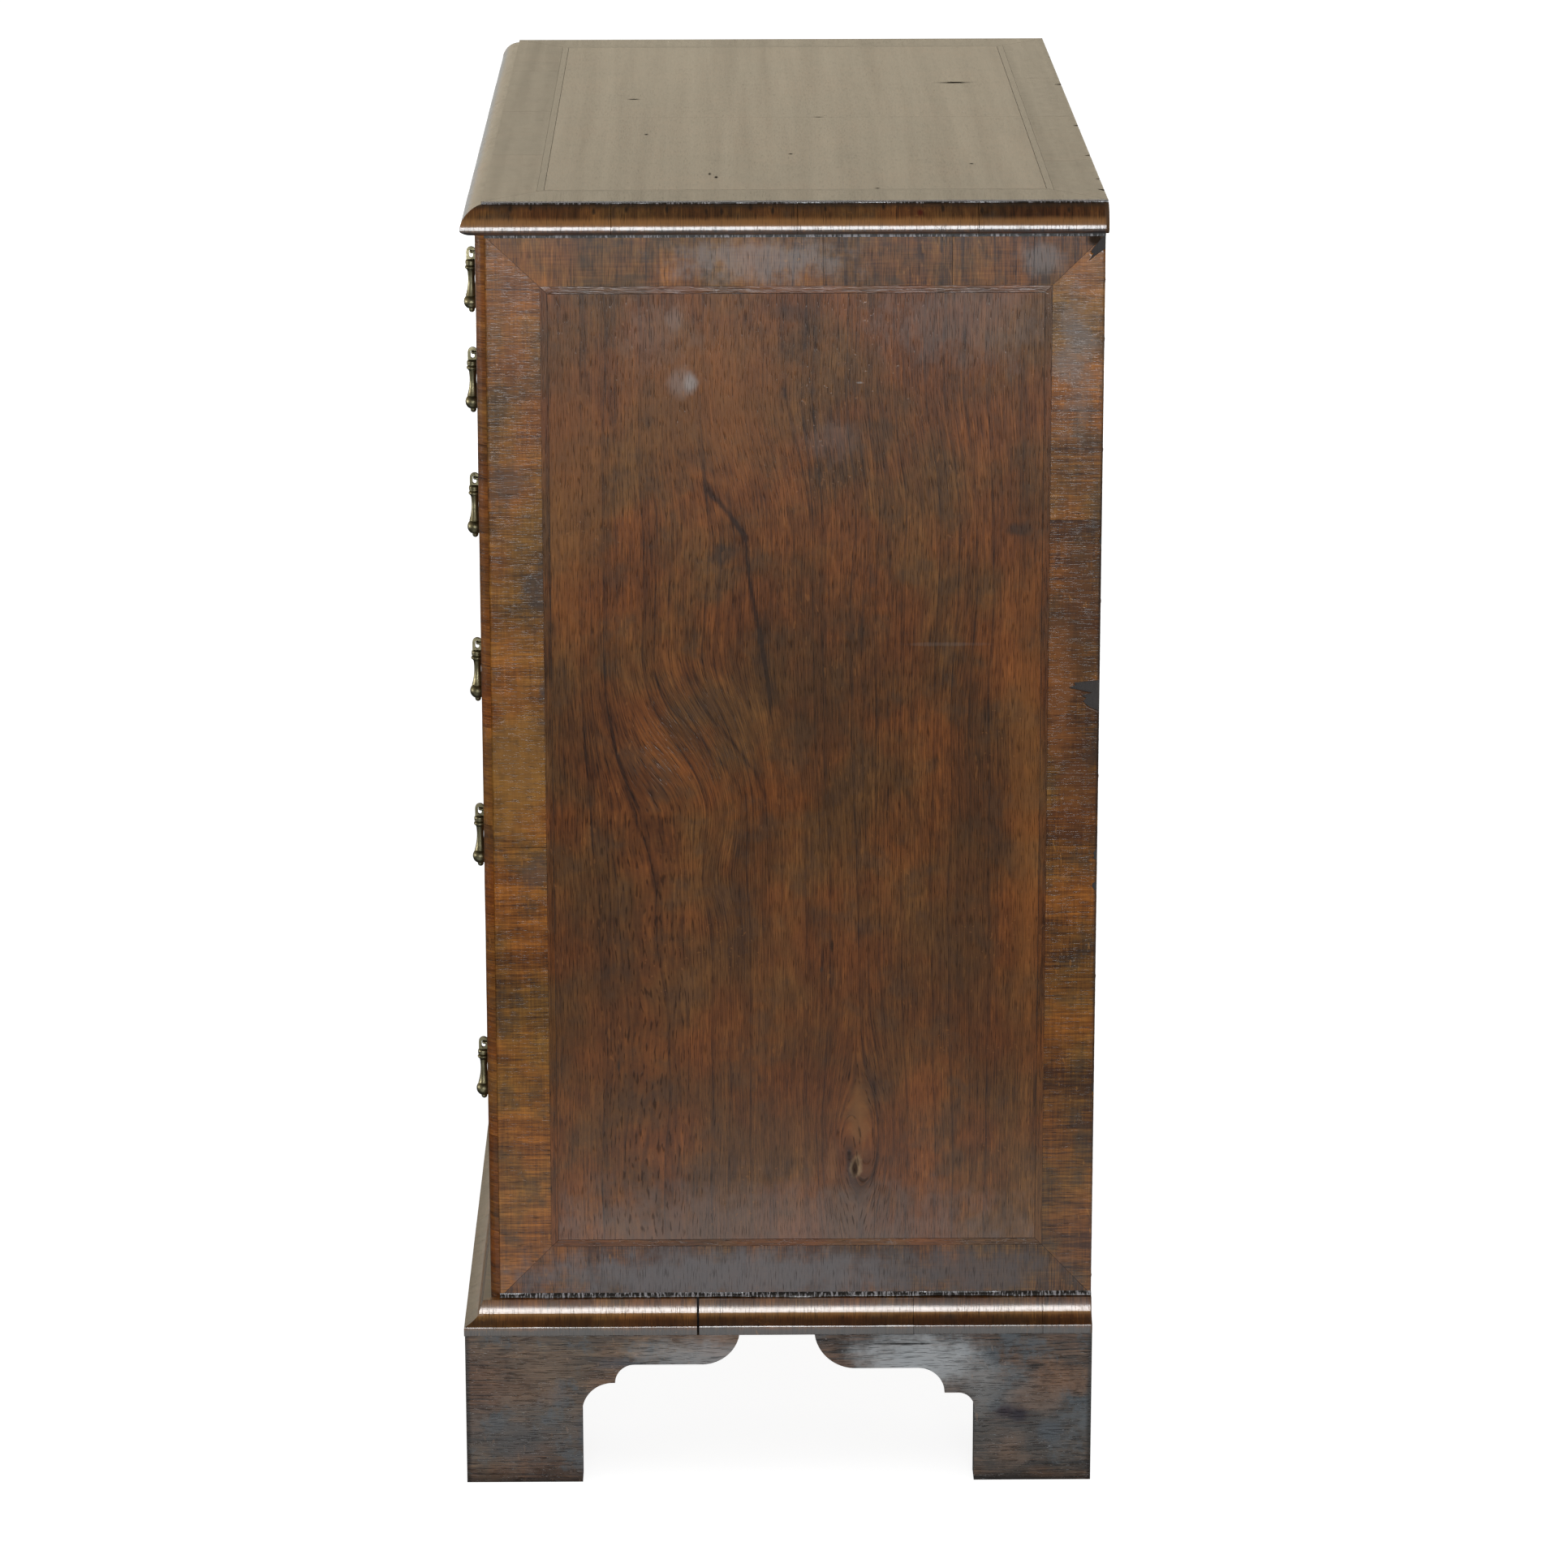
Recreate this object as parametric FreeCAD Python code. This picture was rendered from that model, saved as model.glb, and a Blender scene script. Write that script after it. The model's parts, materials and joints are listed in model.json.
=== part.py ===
import FreeCAD, Part
import math
import os

# A bachelor's chest: a small walnut-veneered chest of six graduated drawers on bracket feet.
# Millimetres. The front faces -Y, +Z is up, and the origin is on the floor under the middle
# of the whole chest. The sides, beads, mouldings and feet are glued and nailed; the drawers
# slide out along -Y; each brass drop swings on the wire staple that holds it.

Vector = FreeCAD.Vector
ORIGIN = Vector(0, 0, 0)
ALONG_X = Vector(1, 0, 0)
ALONG_Y = Vector(0, 1, 0)
ALONG_Z = Vector(0, 0, 1)
SAME_PLACE = 1e-6             # points closer together than this are one

# ---- the case
height = 800.0                # floor to the top surface
case_width = 696.0            # over the outer faces of the two sides
case_depth = 372.0            # front of the edge beads to the back of the sides
side_thick = 16.0
dado_depth = 5.0              # how far the shelves between the drawers go into the sides
back_thick = 9.0
back_rebate = 8.0             # how far the back boards lap over each side
back_board_count = 3
back_board_gap = 1.0          # shrinkage gap between two back boards

# ---- the top and its moulding
top_thick = 19.5
top_out = 8.0                 # moulding beyond the sides and beyond the beads
top_back_out = 1.5
top_moulding_width = 12.5
top_moulding_step = 1.6       # the moulding starts this far under the top surface
top_moulding_flat = 3.5       # flat under the moulding, next to the case
top_moulding_crest = 7.1      # height of its widest line above its underside
top_round_fullness = 0.28

# ---- the base moulding
base_height = 19.7
base_out = 16.0
base_fillet_out = 4.5
base_fillet_height = 1.5
base_swell_out = 7.2
base_swell_drop = 9.3         # bottom of the swelling under the top of the moulding
base_swell_quirk = 0.5        # the swelling's top stands out this far past the fillet
base_fascia_height = 4.4
swell_fullness = 0.2
cove_fullness = 0.2

# ---- the half-round beads on the front edges, and the shelves behind them
bead_out = 6.0
rail_thick = 9.0
top_rail_depth = 60.0
bottom_rail_depth = 20.0
bottom_board_thick = 14.0

# ---- the drawers, from the top one down; the bottom one takes what is left
drawer_heights = [52.0, 58.0, 84.0, 100.0, 118.0]
drawer_side_gap = 1.0
drawer_top_gap = 1.2
drawer_bottom_gap = 0.3
drawer_back_gap = 8.0         # behind a shut drawer
drawer_front_thick = 18.0
drawer_lining_thick = 8.0     # sides and back
drawer_side_drop = 3.0        # the sides stop this far under the top of the front
drawer_back_drop = 8.0
panel_thick = 6.0             # the drawer's bottom
panel_rise = 6.0
panel_groove = 4.0
stop_width = 30.0
stop_depth = 12.0
stop_height = 4.5
stop_spacing = 400.0
stop_gap = 0.3

# ---- the dovetails
tail_pitch = 30.0             # about one tail to this much height
tail_share = 0.72             # the wide end of a tail, as a share of its pitch
tail_slope = 1.0 / 6.0
front_lap = 4.0               # wood left in front of the half-blind tails

# ---- the drop handles
handle_inset = 120.0          # from the side of the case to the handle
handle_rises = [4.7, 6.4, 7.8, 4.1, 15.1, 24.1]   # pivot above the middle of its drawer
pivot_standoff = 13.0         # pivot in front of the drawer's face
wire_radius = 0.9
wire_gap = 0.15               # wire in its holes through the wood
staple_half_width = 2.9
staple_bend = 1.1
clinch_length = 7.0
plate_radius = 11.0
plate_rim = 0.8
plate_boss_radius = 4.6
plate_boss_height = 3.0
eye_radius = 3.0
eye_thick = 3.0
eye_gap = 0.3                 # wire in the eye of the drop
eye_slot = 2.6
hood_top = 4.6                # these run down from the pivot
hood_foot = 7.8
ring_top = 8.6
ring_foot = 10.8
neck_top = 11.8
neck_waist = 17.9
bell_foot = 27.0
bell_groove = 27.4
ball_middle = 30.9
ball_foot = 34.9
drop_length = 37.7
hood_radius = 3.6
hood_round = 1.0
hood_rim = 1.0                # the upright part of the hood's edge
ring_radius = 3.9
ring_root = 3.1
neck_top_radius = 2.5
neck_radius = 2.15
bell_radius = 3.7
ball_radius = 4.9
finial_radius = 1.9

# ---- the bracket feet
foot_height = 96.8
foot_thick = 17.0
foot_reveal = 0.5             # feet set back from the moulding over them
block_size = 42.0
block_lift = 2.0
block_chamfer = 18.0
# a bracket's outline: width of its leg, height of the spur, the round under the spur, the spur's
# flat end, the round over it, the run of the tail's curved end, and the whole length
front_scroll = dict(leg=72.0, spur=65.5, spur_round=19.0, spur_flat=1.5,
                    rise_round=12.0, end_run=22.5, length=169.5)
rear_scroll = dict(leg=72.5, spur=58.0, spur_round=10.0, spur_flat=8.5,
                   rise_round=16.5, end_run=24.0, length=171.5)
scroll_end_fullness = 0.36
rear_bracket_bottom = 60.0
rear_bracket_top = 118.0
rear_bracket_thick = 14.0

# ---- places worked out from those sizes
QUARTER = math.sqrt(2.0) - 1.0    # fullness of a true quarter circle
half_case = case_width / 2.0
inner_half = half_case - side_thick
bead_front = base_out - (case_depth + top_back_out + base_out) / 2.0
front_plane = bead_front + bead_out
back_plane = bead_front + case_depth
back_face = back_plane - back_thick
under_top = height - top_thick
opening_floor = foot_height + base_height + rail_thick
opening_ceiling = under_top - rail_thick
drawer_half = inner_half - drawer_side_gap
drawer_back = back_face - drawer_back_gap
nodes = {}


def box(x0, x1, y0, y1, z0, z1):
    """A block between two corners."""
    return Part.makeBox(x1 - x0, y1 - y0, z1 - z0, Vector(x0, y0, z0))


def prism(points, z0, z1):
    """A flat plan, carried up from z0 to z1."""
    corners = [Vector(x, y, z0) for x, y in points]
    return Part.Face(Part.makePolygon(corners + corners[:1])).extrude(ALONG_Z * (z1 - z0))


def outline(start, *steps):
    """A closed face in the XY plane. A step of two numbers is a straight run to that point, four
    are an arc through the first point to the second, and five are an arc to the first point that
    leans towards the corner in the next two by the share in the last."""
    edges = []
    here = Vector(start[0], start[1], 0)
    for step in steps + (start,):
        if len(step) == 4:
            middle, there = Vector(step[0], step[1], 0), Vector(step[2], step[3], 0)
            edges.append(Part.Arc(here, middle, there).toShape())
        elif len(step) == 5:
            there, corner = Vector(step[0], step[1], 0), Vector(step[2], step[3], 0)
            chord = (here + there) * 0.5
            edges.append(Part.Arc(here, chord + (corner - chord) * step[4], there).toShape())
        else:
            there = Vector(step[0], step[1], 0)
            if there.distanceToPoint(here) > SAME_PLACE:
                edges.append(Part.LineSegment(here, there).toShape())
        here = there
    return Part.Face(Part.Wire(edges))


def rising_middle(start, end):
    """Middle of the arc that leaves start level and rises to end."""
    run, rise = end[0] - start[0], end[1] - start[1]
    radius = (run * run + rise * rise) / (2.0 * rise)
    half = math.atan2(run, radius - rise) / 2.0
    return start[0] + radius * math.sin(half), start[1] + radius * (1.0 - math.cos(half))


def upright(shape):
    """Turns a face from the XY plane up into the XZ plane."""
    return shape.rotate(ORIGIN, ALONG_X, 90)


def mirrored(shape):
    """The same piece on the other side of the chest."""
    return shape.mirror(ORIGIN, ALONG_X)


def add(name, *solids):
    """Keeps one or more solids as the node of that name."""
    nodes[name] = list(solids)


# ---- mouldings: a profile carried along the front and both sides, mitred at the front corners

def top_profile(inner):
    """Ovolo of the top: a small step, a full round, a tighter round under it."""
    foot, crown = under_top, height - top_moulding_step
    crest = foot + top_moulding_crest
    width = top_moulding_width
    flat = (top_moulding_flat, foot)
    return outline(
        (inner, foot),
        flat,
        (*rising_middle(flat, (width, crest)), width, crest),
        (top_moulding_step / 2, crown, width, crown, top_round_fullness),
        (inner, crown),
    )


def base_profile(inner):
    """Base moulding: a fillet, a slight swelling, a cove that sweeps out, and a fascia."""
    foot, crown = foot_height, foot_height + base_height
    swell_top = crown - base_fillet_height
    swell_foot = crown - base_swell_drop
    lip = foot + base_fascia_height
    return outline(
        (inner, foot),
        (base_out, foot),
        (base_out, lip),
        (base_swell_out, swell_foot, base_swell_out, lip, cove_fullness),
        (base_fillet_out + base_swell_quirk, swell_top, base_swell_out, swell_top, swell_fullness),
        (base_fillet_out, swell_top),
        (base_fillet_out, crown),
        (inner, crown),
    )


def moulding_set(profile, width, out, back, behind):
    """Front, left and right lengths of one moulding. behind is how much deeper the front length
    is than the others, where it reaches back past the beads."""
    far = half_case + out
    nose = bead_front - out
    heel = nose + width
    side = upright(profile(0.0))
    side.translate(Vector(far - width, nose, 0))
    side = side.extrude(ALONG_Y * (back - nose))
    side_plan = [(far, nose), (far, back), (far - width, back), (far - width, heel)]
    right = side.common(prism(side_plan, 0, height))
    front = upright(profile(-behind)).rotate(ORIGIN, ALONG_Z, -90)
    front.translate(Vector(-far, heel, 0))
    front = front.extrude(ALONG_X * (2 * far))
    inner = far - width
    front_plan = [(-far, nose), (far, nose), (inner, heel), (inner, heel + behind),
                  (-inner, heel + behind), (-inner, heel)]
    front = front.common(prism(front_plan, 0, height))
    return front, mirrored(right), right


def make_top():
    """The top board with its moulding on three edges."""
    edge = half_case + top_out - top_moulding_width
    nose = bead_front - top_out + top_moulding_width
    back = back_plane + top_back_out
    add("top_board", box(-edge, edge, nose, back, under_top, height))
    front, left, right = moulding_set(top_profile, top_moulding_width, top_out, back, 0.0)
    add("top_moulding_front", front)
    add("top_moulding_left", left)
    add("top_moulding_right", right)


def make_base_moulding():
    """The moulding round the bottom of the case."""
    front, left, right = moulding_set(base_profile, base_out, base_out, back_plane, bead_out)
    add("base_moulding_front", front)
    add("base_moulding_left", left)
    add("base_moulding_right", right)


# ---- case

def drawer_openings():
    """Floor and ceiling of each drawer's opening, from the top one down."""
    spans = []
    ceiling = opening_ceiling
    for tall in drawer_heights:
        spans.append((ceiling - tall, ceiling))
        ceiling -= tall + rail_thick
    spans.append((opening_floor, ceiling))
    return spans


def half_round(width, run):
    """A bead of D section along +Z, flat side on y = 0, round side towards -Y."""
    half = width / 2.0
    if half > bead_out:
        face = outline((-half, 0), (0, -bead_out, half, 0))
    else:
        straight = half - bead_out
        face = outline((-half, 0), (-half, straight), (0, -bead_out, half, straight), (half, 0))
    return face.extrude(ALONG_Z * run)


def side_bead():
    """The upright bead on the front edge of the right side."""
    foot = foot_height + base_height
    bead = half_round(side_thick, under_top - foot)
    bead.translate(Vector(half_case - side_thick / 2.0, front_plane, foot))
    return bead


def rail_bead(middle, bead_right):
    """A level bead, coped round the two upright ones."""
    reach = half_case - side_thick / 2.0
    bead = half_round(rail_thick, 2 * reach)
    bead = bead.rotate(ORIGIN, ALONG_Y, 90)
    bead.translate(Vector(-reach, front_plane, middle))
    return bead.cut(bead_right).cut(mirrored(bead_right))


def stops(floor):
    """Two small blocks that a shut drawer's front comes up against."""
    y0 = front_plane + drawer_front_thick + stop_gap
    pair = []
    for middle in (-stop_spacing / 2.0, stop_spacing / 2.0):
        pair.append(box(middle - stop_width / 2, middle + stop_width / 2, y0, y0 + stop_depth,
                        floor, floor + stop_height))
    return pair


def make_case():
    """Sides, shelves, rails, beads and back boards."""
    reach = inner_half + dado_depth
    spans = drawer_openings()
    bead_right = side_bead()
    add("edge_bead_right", bead_right)
    add("edge_bead_left", mirrored(bead_right))
    shelves = []
    for number, (floor, _) in enumerate(spans[:-1], start=1):
        shelf = box(-reach, reach, front_plane, back_face, floor - rail_thick, floor)
        shelves.append(shelf)
        bead = rail_bead(floor - rail_thick / 2.0, bead_right)
        add("drawer_divider_%d" % number, shelf, bead, *stops(floor))
    top_rail = box(-reach, reach, front_plane, front_plane + top_rail_depth, opening_ceiling, under_top)
    add("top_rail", top_rail, rail_bead(under_top - rail_thick / 2.0, bead_right))
    rail_back = front_plane + bottom_rail_depth
    bottom_rail = box(-inner_half, inner_half, front_plane, rail_back, foot_height, opening_floor)
    add("bottom_rail", bottom_rail, rail_bead(opening_floor - rail_thick / 2.0, bead_right))
    bottom_board = box(-reach, reach, rail_back, back_face,
                       opening_floor - bottom_board_thick, opening_floor)
    add("bottom_board", bottom_board, *stops(opening_floor))
    right = box(inner_half, half_case, front_plane, back_plane, foot_height, under_top)
    rebate = box(inner_half, inner_half + back_rebate, back_face, back_plane, foot_height, under_top)
    for piece in shelves + [top_rail, bottom_board, rebate]:
        right = right.cut(piece)
    add("right_side", right)
    add("left_side", mirrored(right))
    make_back(inner_half + back_rebate)


def make_back(half):
    """Upright back boards, side by side in the rebates."""
    pitch = (2 * half + back_board_gap) / back_board_count
    boards = []
    for number in range(back_board_count):
        x0 = -half + number * pitch
        boards.append(box(x0, x0 + pitch - back_board_gap, back_face, back_plane, foot_height, under_top))
    add("back_boards", *boards)


# ---- feet

def bracket_face(leg, spur, spur_round, spur_flat, rise_round, end_run, length):
    """Outline of a bracket: a straight leg, a pointed spur and a rounded tail under the moulding."""
    inner = leg + spur_round + spur_flat
    underside = spur + rise_round
    return outline(
        (0, 0),
        (leg, 0),
        (leg, spur - spur_round),
        (leg + spur_round, spur, leg, spur, QUARTER),
        (inner, spur),
        (inner + rise_round, underside, inner, underside, QUARTER),
        (length - end_run, underside),
        (length, foot_height, length, underside, scroll_end_fullness),
        (0, foot_height),
    )


def corner_plan(depth):
    """Half of a mitred corner, seen from above, with the corner at the origin."""
    return prism([(0, 0), (depth, depth), (depth + height, depth + height), (depth + height, 0)],
                 0, foot_height)


def front_foot():
    """Right front foot: two mitred brackets and the block glued behind them."""
    far = half_case + base_out - foot_reveal
    nose = bead_front - base_out + foot_reveal
    face = upright(bracket_face(**front_scroll))
    along = face.extrude(ALONG_Y * foot_thick).common(corner_plan(foot_thick))
    front = mirrored(along)
    front.translate(Vector(far, nose, 0))
    side = along.mirror(ORIGIN, Vector(1, -1, 0))
    side = mirrored(side)
    side.translate(Vector(far, nose, 0))
    return [front, side, corner_block(far - foot_thick, nose + foot_thick, 1)]


def corner_block(x1, y0, towards):
    """Glue block in the angle of a foot, its inner corner cut off, clear of the floor."""
    size, cut = block_size, block_chamfer
    plan = [(0, 0), (-size, 0), (-size, towards * (size - cut)),
            (-(size - cut), towards * size), (0, towards * size)]
    if towards < 0:
        plan.reverse()
    block = prism(plan, block_lift, foot_height)
    block.translate(Vector(x1, y0, 0))
    return block


def rear_foot():
    """Right rear foot: a shaped side bracket, a plain splayed one behind, and the block."""
    far = half_case + base_out - foot_reveal
    face = upright(bracket_face(**rear_scroll)).rotate(ORIGIN, ALONG_Z, -90)
    side = face.extrude(ALONG_X * -foot_thick)
    side.translate(Vector(far, back_plane, 0))
    inner = far - foot_thick
    slab = outline((0, 0), (-rear_bracket_bottom, 0), (-rear_bracket_top, foot_height), (0, foot_height))
    rear = upright(slab).extrude(ALONG_Y * -rear_bracket_thick)
    rear.translate(Vector(inner, back_plane, 0))
    return [side, rear, corner_block(inner, back_plane - rear_bracket_thick, -1)]


def make_feet():
    """Four bracket feet."""
    for place, solids in (("front", front_foot()), ("rear", rear_foot())):
        add("foot_%s_right" % place, *solids)
        add("foot_%s_left" % place, *[mirrored(solid) for solid in solids])


# ---- drawers

def tails(root, tip, floor, ceiling):
    """Dovetails on the end of a drawer side: they widen from root to tip, along Y, and share the
    height between floor and ceiling."""
    count = max(2, round((ceiling - floor) / tail_pitch))
    pitch = (ceiling - floor) / count
    wide = pitch * tail_share / 2.0
    narrow = wide - abs(tip - root) * tail_slope
    cut = []
    for number in range(count):
        middle = floor + (number + 0.5) * pitch
        corners = [(root, middle - narrow), (tip, middle - wide), (tip, middle + wide),
                   (root, middle + narrow), (root, middle - narrow)]
        face = Part.Face(Part.makePolygon([Vector(0, y, z) for y, z in corners]))
        cut.append(face.extrude(ALONG_X * drawer_lining_thick))
    return cut


def drawer_wood(floor, ceiling):
    """Front, two dovetailed sides, back and bottom of the drawer for one opening."""
    foot = floor + drawer_bottom_gap
    crown = ceiling - drawer_top_gap
    lining = drawer_half - drawer_lining_thick
    front_inner = front_plane + drawer_front_thick
    back_inner = drawer_back - drawer_lining_thick
    panel_top = foot + panel_rise + panel_thick
    side_top = crown - drawer_side_drop
    panel_half = lining + panel_groove
    panel = box(-panel_half, panel_half, front_inner - panel_groove, drawer_back,
                foot + panel_rise, panel_top)
    side = box(0, drawer_lining_thick, front_inner, back_inner, foot, side_top)
    side = side.fuse(box(0, drawer_lining_thick, back_inner, drawer_back, foot, panel_top))
    side = side.fuse(tails(front_inner, front_plane + front_lap, foot, side_top))
    side = side.fuse(tails(back_inner, drawer_back, panel_top, side_top)).removeSplitter()
    side.translate(Vector(lining, 0, 0))
    right = side.cut(panel)
    left = mirrored(right)
    front = box(-drawer_half, drawer_half, front_plane, front_inner, foot, crown)
    back = box(-drawer_half, drawer_half, back_inner, drawer_back, panel_top, crown - drawer_back_drop)
    for piece in (right, left):
        front = front.cut(piece)
        back = back.cut(piece)
    return front.cut(panel), [left, right, back], panel


# ---- handles

def bent_wire(points, bend, radius):
    """A round wire along square-cornered runs, each corner turned on an arc."""
    edges = []
    here = points[0]
    for before, corner, after in zip(points, points[1:], points[2:]):
        back = (before - corner).normalize() * bend
        on = (after - corner).normalize() * bend
        middle = corner + (back + on) * (1.0 - math.sqrt(0.5))
        edges.append(Part.LineSegment(here, corner + back).toShape())
        edges.append(Part.Arc(corner + back, middle, corner + on).toShape())
        here = corner + on
    edges.append(Part.LineSegment(here, points[-1]).toShape())
    start = Part.Wire(Part.Circle(points[0], points[1] - points[0], radius).toShape())
    return Part.Wire(edges).makePipeShell([start], True, False)


def staple():
    """Wire staple: it holds the drop at the front and is clinched inside the drawer. The pivot,
    the middle of its front run, is at the origin."""
    inside = pivot_standoff + drawer_front_thick + wire_radius
    tail = staple_half_width + clinch_length
    right = [Vector(staple_half_width, 0, 0), Vector(staple_half_width, inside, 0), Vector(tail, inside, 0)]
    left = [Vector(-point.x, point.y, 0) for point in reversed(right)]
    return bent_wire(left + right, staple_bend, wire_radius)


def leg_holes(radius):
    """The two holes that the staple's legs pass through. They start past the wire's bends."""
    start = 2 * staple_bend
    deep = pivot_standoff + drawer_front_thick + wire_radius
    holes = []
    for x in (-staple_half_width, staple_half_width):
        holes.append(Part.makeCylinder(radius, deep, Vector(x, start, 0), ALONG_Y))
    return holes


def backplate():
    """Round cast plate: a rolled rim, a dished field and a boss round the staple."""
    rim = plate_radius - 2 * plate_rim
    rise = plate_boss_height
    face = outline(
        (0, 0),
        (plate_radius, 0),
        (plate_radius, plate_rim),
        (plate_radius - plate_rim, 2 * plate_rim, rim, plate_rim),
        (plate_boss_radius, rise - plate_rim, plate_boss_radius, plate_rim, QUARTER),
        (plate_boss_radius - plate_rim, rise, plate_boss_radius, rise, QUARTER),
        (0, rise),
    )
    plate = face.revolve(ORIGIN, ALONG_Y, 360).rotate(ORIGIN, ALONG_X, 180)
    plate.translate(ALONG_Y * pivot_standoff)
    return plate.cut(leg_holes(wire_radius + wire_gap))


def ball_at(depth):
    """Radius of the ball at a depth under the pivot: a true sphere on the drop's axis."""
    return math.sqrt(ball_radius ** 2 - (depth - ball_middle) ** 2)


def drop():
    """Turned brass drop that hangs from an eye at the origin."""
    slot = wire_radius + eye_gap
    half = eye_thick / 2.0
    shoulder = drop_length - finial_radius
    eye = outline(
        (-eye_radius, 0),
        (0, eye_radius, eye_radius, 0),
        (eye_radius, -hood_foot),
        (-eye_radius, -hood_foot),
    )
    hole = outline(
        (-slot, 0),
        (0, slot, slot, 0),
        (slot, -eye_slot),
        (0, -eye_slot - slot, -slot, -eye_slot),
    )
    link = eye.cut(hole).Faces[0].extrude(ALONG_Z * eye_thick)
    link = link.rotate(ORIGIN, ALONG_Y, 90)
    link.translate(ALONG_X * -half)
    rod = outline(
        (0, -hood_top),
        (hood_radius - hood_round, -hood_top),
        (hood_radius, -hood_foot + hood_rim, hood_radius, -hood_top, QUARTER),
        (hood_radius, -hood_foot),
        (ring_root, -ring_top),
        (ring_radius, -(ring_top + ring_foot) / 2.0, ring_root, -ring_foot),
        (neck_top_radius, -neck_top),
        (neck_radius, -neck_waist, bell_radius, -bell_foot),
        (ball_at(bell_groove), -bell_groove),
        (ball_radius, -ball_middle, ball_at(ball_foot), -ball_foot),
        (finial_radius, -ball_foot),
        (finial_radius, -shoulder),
        (0, -drop_length, finial_radius, -drop_length, QUARTER),
    )
    rod = rod.revolve(ORIGIN, ALONG_Y, 360)
    return link.fuse(rod).removeSplitter().rotate(ORIGIN, ALONG_X, 90)


def make_drawers():
    """Six drawers, each with two handles."""
    bored = leg_holes(wire_radius + wire_gap)
    brass = [backplate(), staple()]
    hanging = drop()
    for number, (floor, ceiling) in enumerate(drawer_openings(), start=1):
        front, lining, panel = drawer_wood(floor, ceiling)
        pivot_height = (floor + ceiling) / 2.0 + handle_rises[number - 1]
        fittings = []
        for side, sign in (("left", -1), ("right", 1)):
            place = Vector(sign * (half_case - handle_inset), front_plane - pivot_standoff, pivot_height)
            front = front.cut([hole.translated(place) for hole in bored])
            fittings += [piece.translated(place) for piece in brass]
            add("drop_%d_%s" % (number, side), hanging.translated(place))
        add("drawer_%d_front" % number, front)
        add("drawer_%d_box" % number, *lining)
        add("drawer_%d_bottom" % number, panel)
        add("drawer_%d_plates" % number, *fittings)


def save():
    """Writes one file for each node."""
    os.makedirs("parts", exist_ok=True)
    for name, solids in nodes.items():
        pieces = [solid for shape in solids for solid in shape.Solids]
        whole = pieces[0] if len(pieces) == 1 else Part.makeCompound(pieces)
        whole.exportStep("parts/%s.step" % name)
        print("%-22s %2d solid(s) %10.1f cm3" % (name, len(pieces), whole.Volume / 1000.0))


make_top()
make_base_moulding()
make_case()
make_feet()
make_drawers()
save()
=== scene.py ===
# %% [markdown]
# # Dressing a walnut bachelor's chest
#
# The joiner's model holds every board, moulding and brass at its real size. What it lacks is what
# a veneer cutter, a polisher and three hundred years add: sheets of figured walnut with borders
# laid across the grain, rubbed arrises, open joints, stains, and brass gone olive. This lesson adds
# them one trade at a time. Nothing is moved or resized: a piece is either kept, or remade in place.

# %% Open the joiner's model
import json
import math

import bmesh
import bpy
import numpy as np
from mathutils import Matrix, Vector


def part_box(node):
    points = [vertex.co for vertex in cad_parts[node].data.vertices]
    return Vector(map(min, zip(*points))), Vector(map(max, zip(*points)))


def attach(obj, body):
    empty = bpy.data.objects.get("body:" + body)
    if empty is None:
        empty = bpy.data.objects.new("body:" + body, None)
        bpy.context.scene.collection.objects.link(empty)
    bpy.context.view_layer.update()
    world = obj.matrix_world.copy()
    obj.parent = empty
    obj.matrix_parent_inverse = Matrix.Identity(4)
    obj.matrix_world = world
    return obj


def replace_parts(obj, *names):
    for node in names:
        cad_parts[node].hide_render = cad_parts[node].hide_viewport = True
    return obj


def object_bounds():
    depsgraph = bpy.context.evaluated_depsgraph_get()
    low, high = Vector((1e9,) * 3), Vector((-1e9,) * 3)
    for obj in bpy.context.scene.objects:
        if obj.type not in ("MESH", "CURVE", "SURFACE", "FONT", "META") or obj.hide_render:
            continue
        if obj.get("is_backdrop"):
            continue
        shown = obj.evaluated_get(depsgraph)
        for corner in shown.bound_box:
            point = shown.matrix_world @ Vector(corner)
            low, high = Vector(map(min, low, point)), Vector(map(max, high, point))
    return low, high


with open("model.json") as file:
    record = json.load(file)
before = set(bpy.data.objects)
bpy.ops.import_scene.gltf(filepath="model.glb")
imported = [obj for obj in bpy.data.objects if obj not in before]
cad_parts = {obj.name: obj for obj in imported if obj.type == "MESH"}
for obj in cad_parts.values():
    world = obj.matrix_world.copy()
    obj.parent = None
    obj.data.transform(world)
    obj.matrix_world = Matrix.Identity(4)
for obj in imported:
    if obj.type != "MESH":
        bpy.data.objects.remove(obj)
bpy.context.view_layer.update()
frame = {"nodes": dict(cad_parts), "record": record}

# %% [markdown]
# ## Where things are
#
# Every later step works from a few planes of the carcass, so they are read from the model once:
# the outer face of a side, the plane of the drawer fronts, the back, and where the top and the
# base moulding begin. Blender works in metres, and MM lets small sizes be written as a maker says them.

# %% Planes of the carcass
MM = 0.001
side_low, side_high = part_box("right_side")
bead_low, bead_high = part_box("edge_bead_right")
board_low, board_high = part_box("top_board")
rim_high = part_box("top_moulding_right")[1]
base_low, base_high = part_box("base_moulding_right")
face_x, front_y, back_y = side_high.x, side_low.y, side_high.y
under_top, top_z = side_high.z, board_high.z
base_foot, base_top = base_low.z, base_high.z
bead_out = front_y - bead_low.y
SIDES = (("right", 1), ("left", -1))
print("side face at x", round(face_x, 4), "drawer fronts at y", round(front_y, 4))

# %% [markdown]
# ## Shapes as arrays
#
# A new piece is a surface worked out with numpy: a grid of points for a sheet, or a row of equal
# rings for a moulding. Blender gets the finished arrays in one go. Each corner also carries its
# place in the wood (along the grain, across it, and into it), so that one wood finish can serve
# every board, whichever way it was cut.

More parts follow.
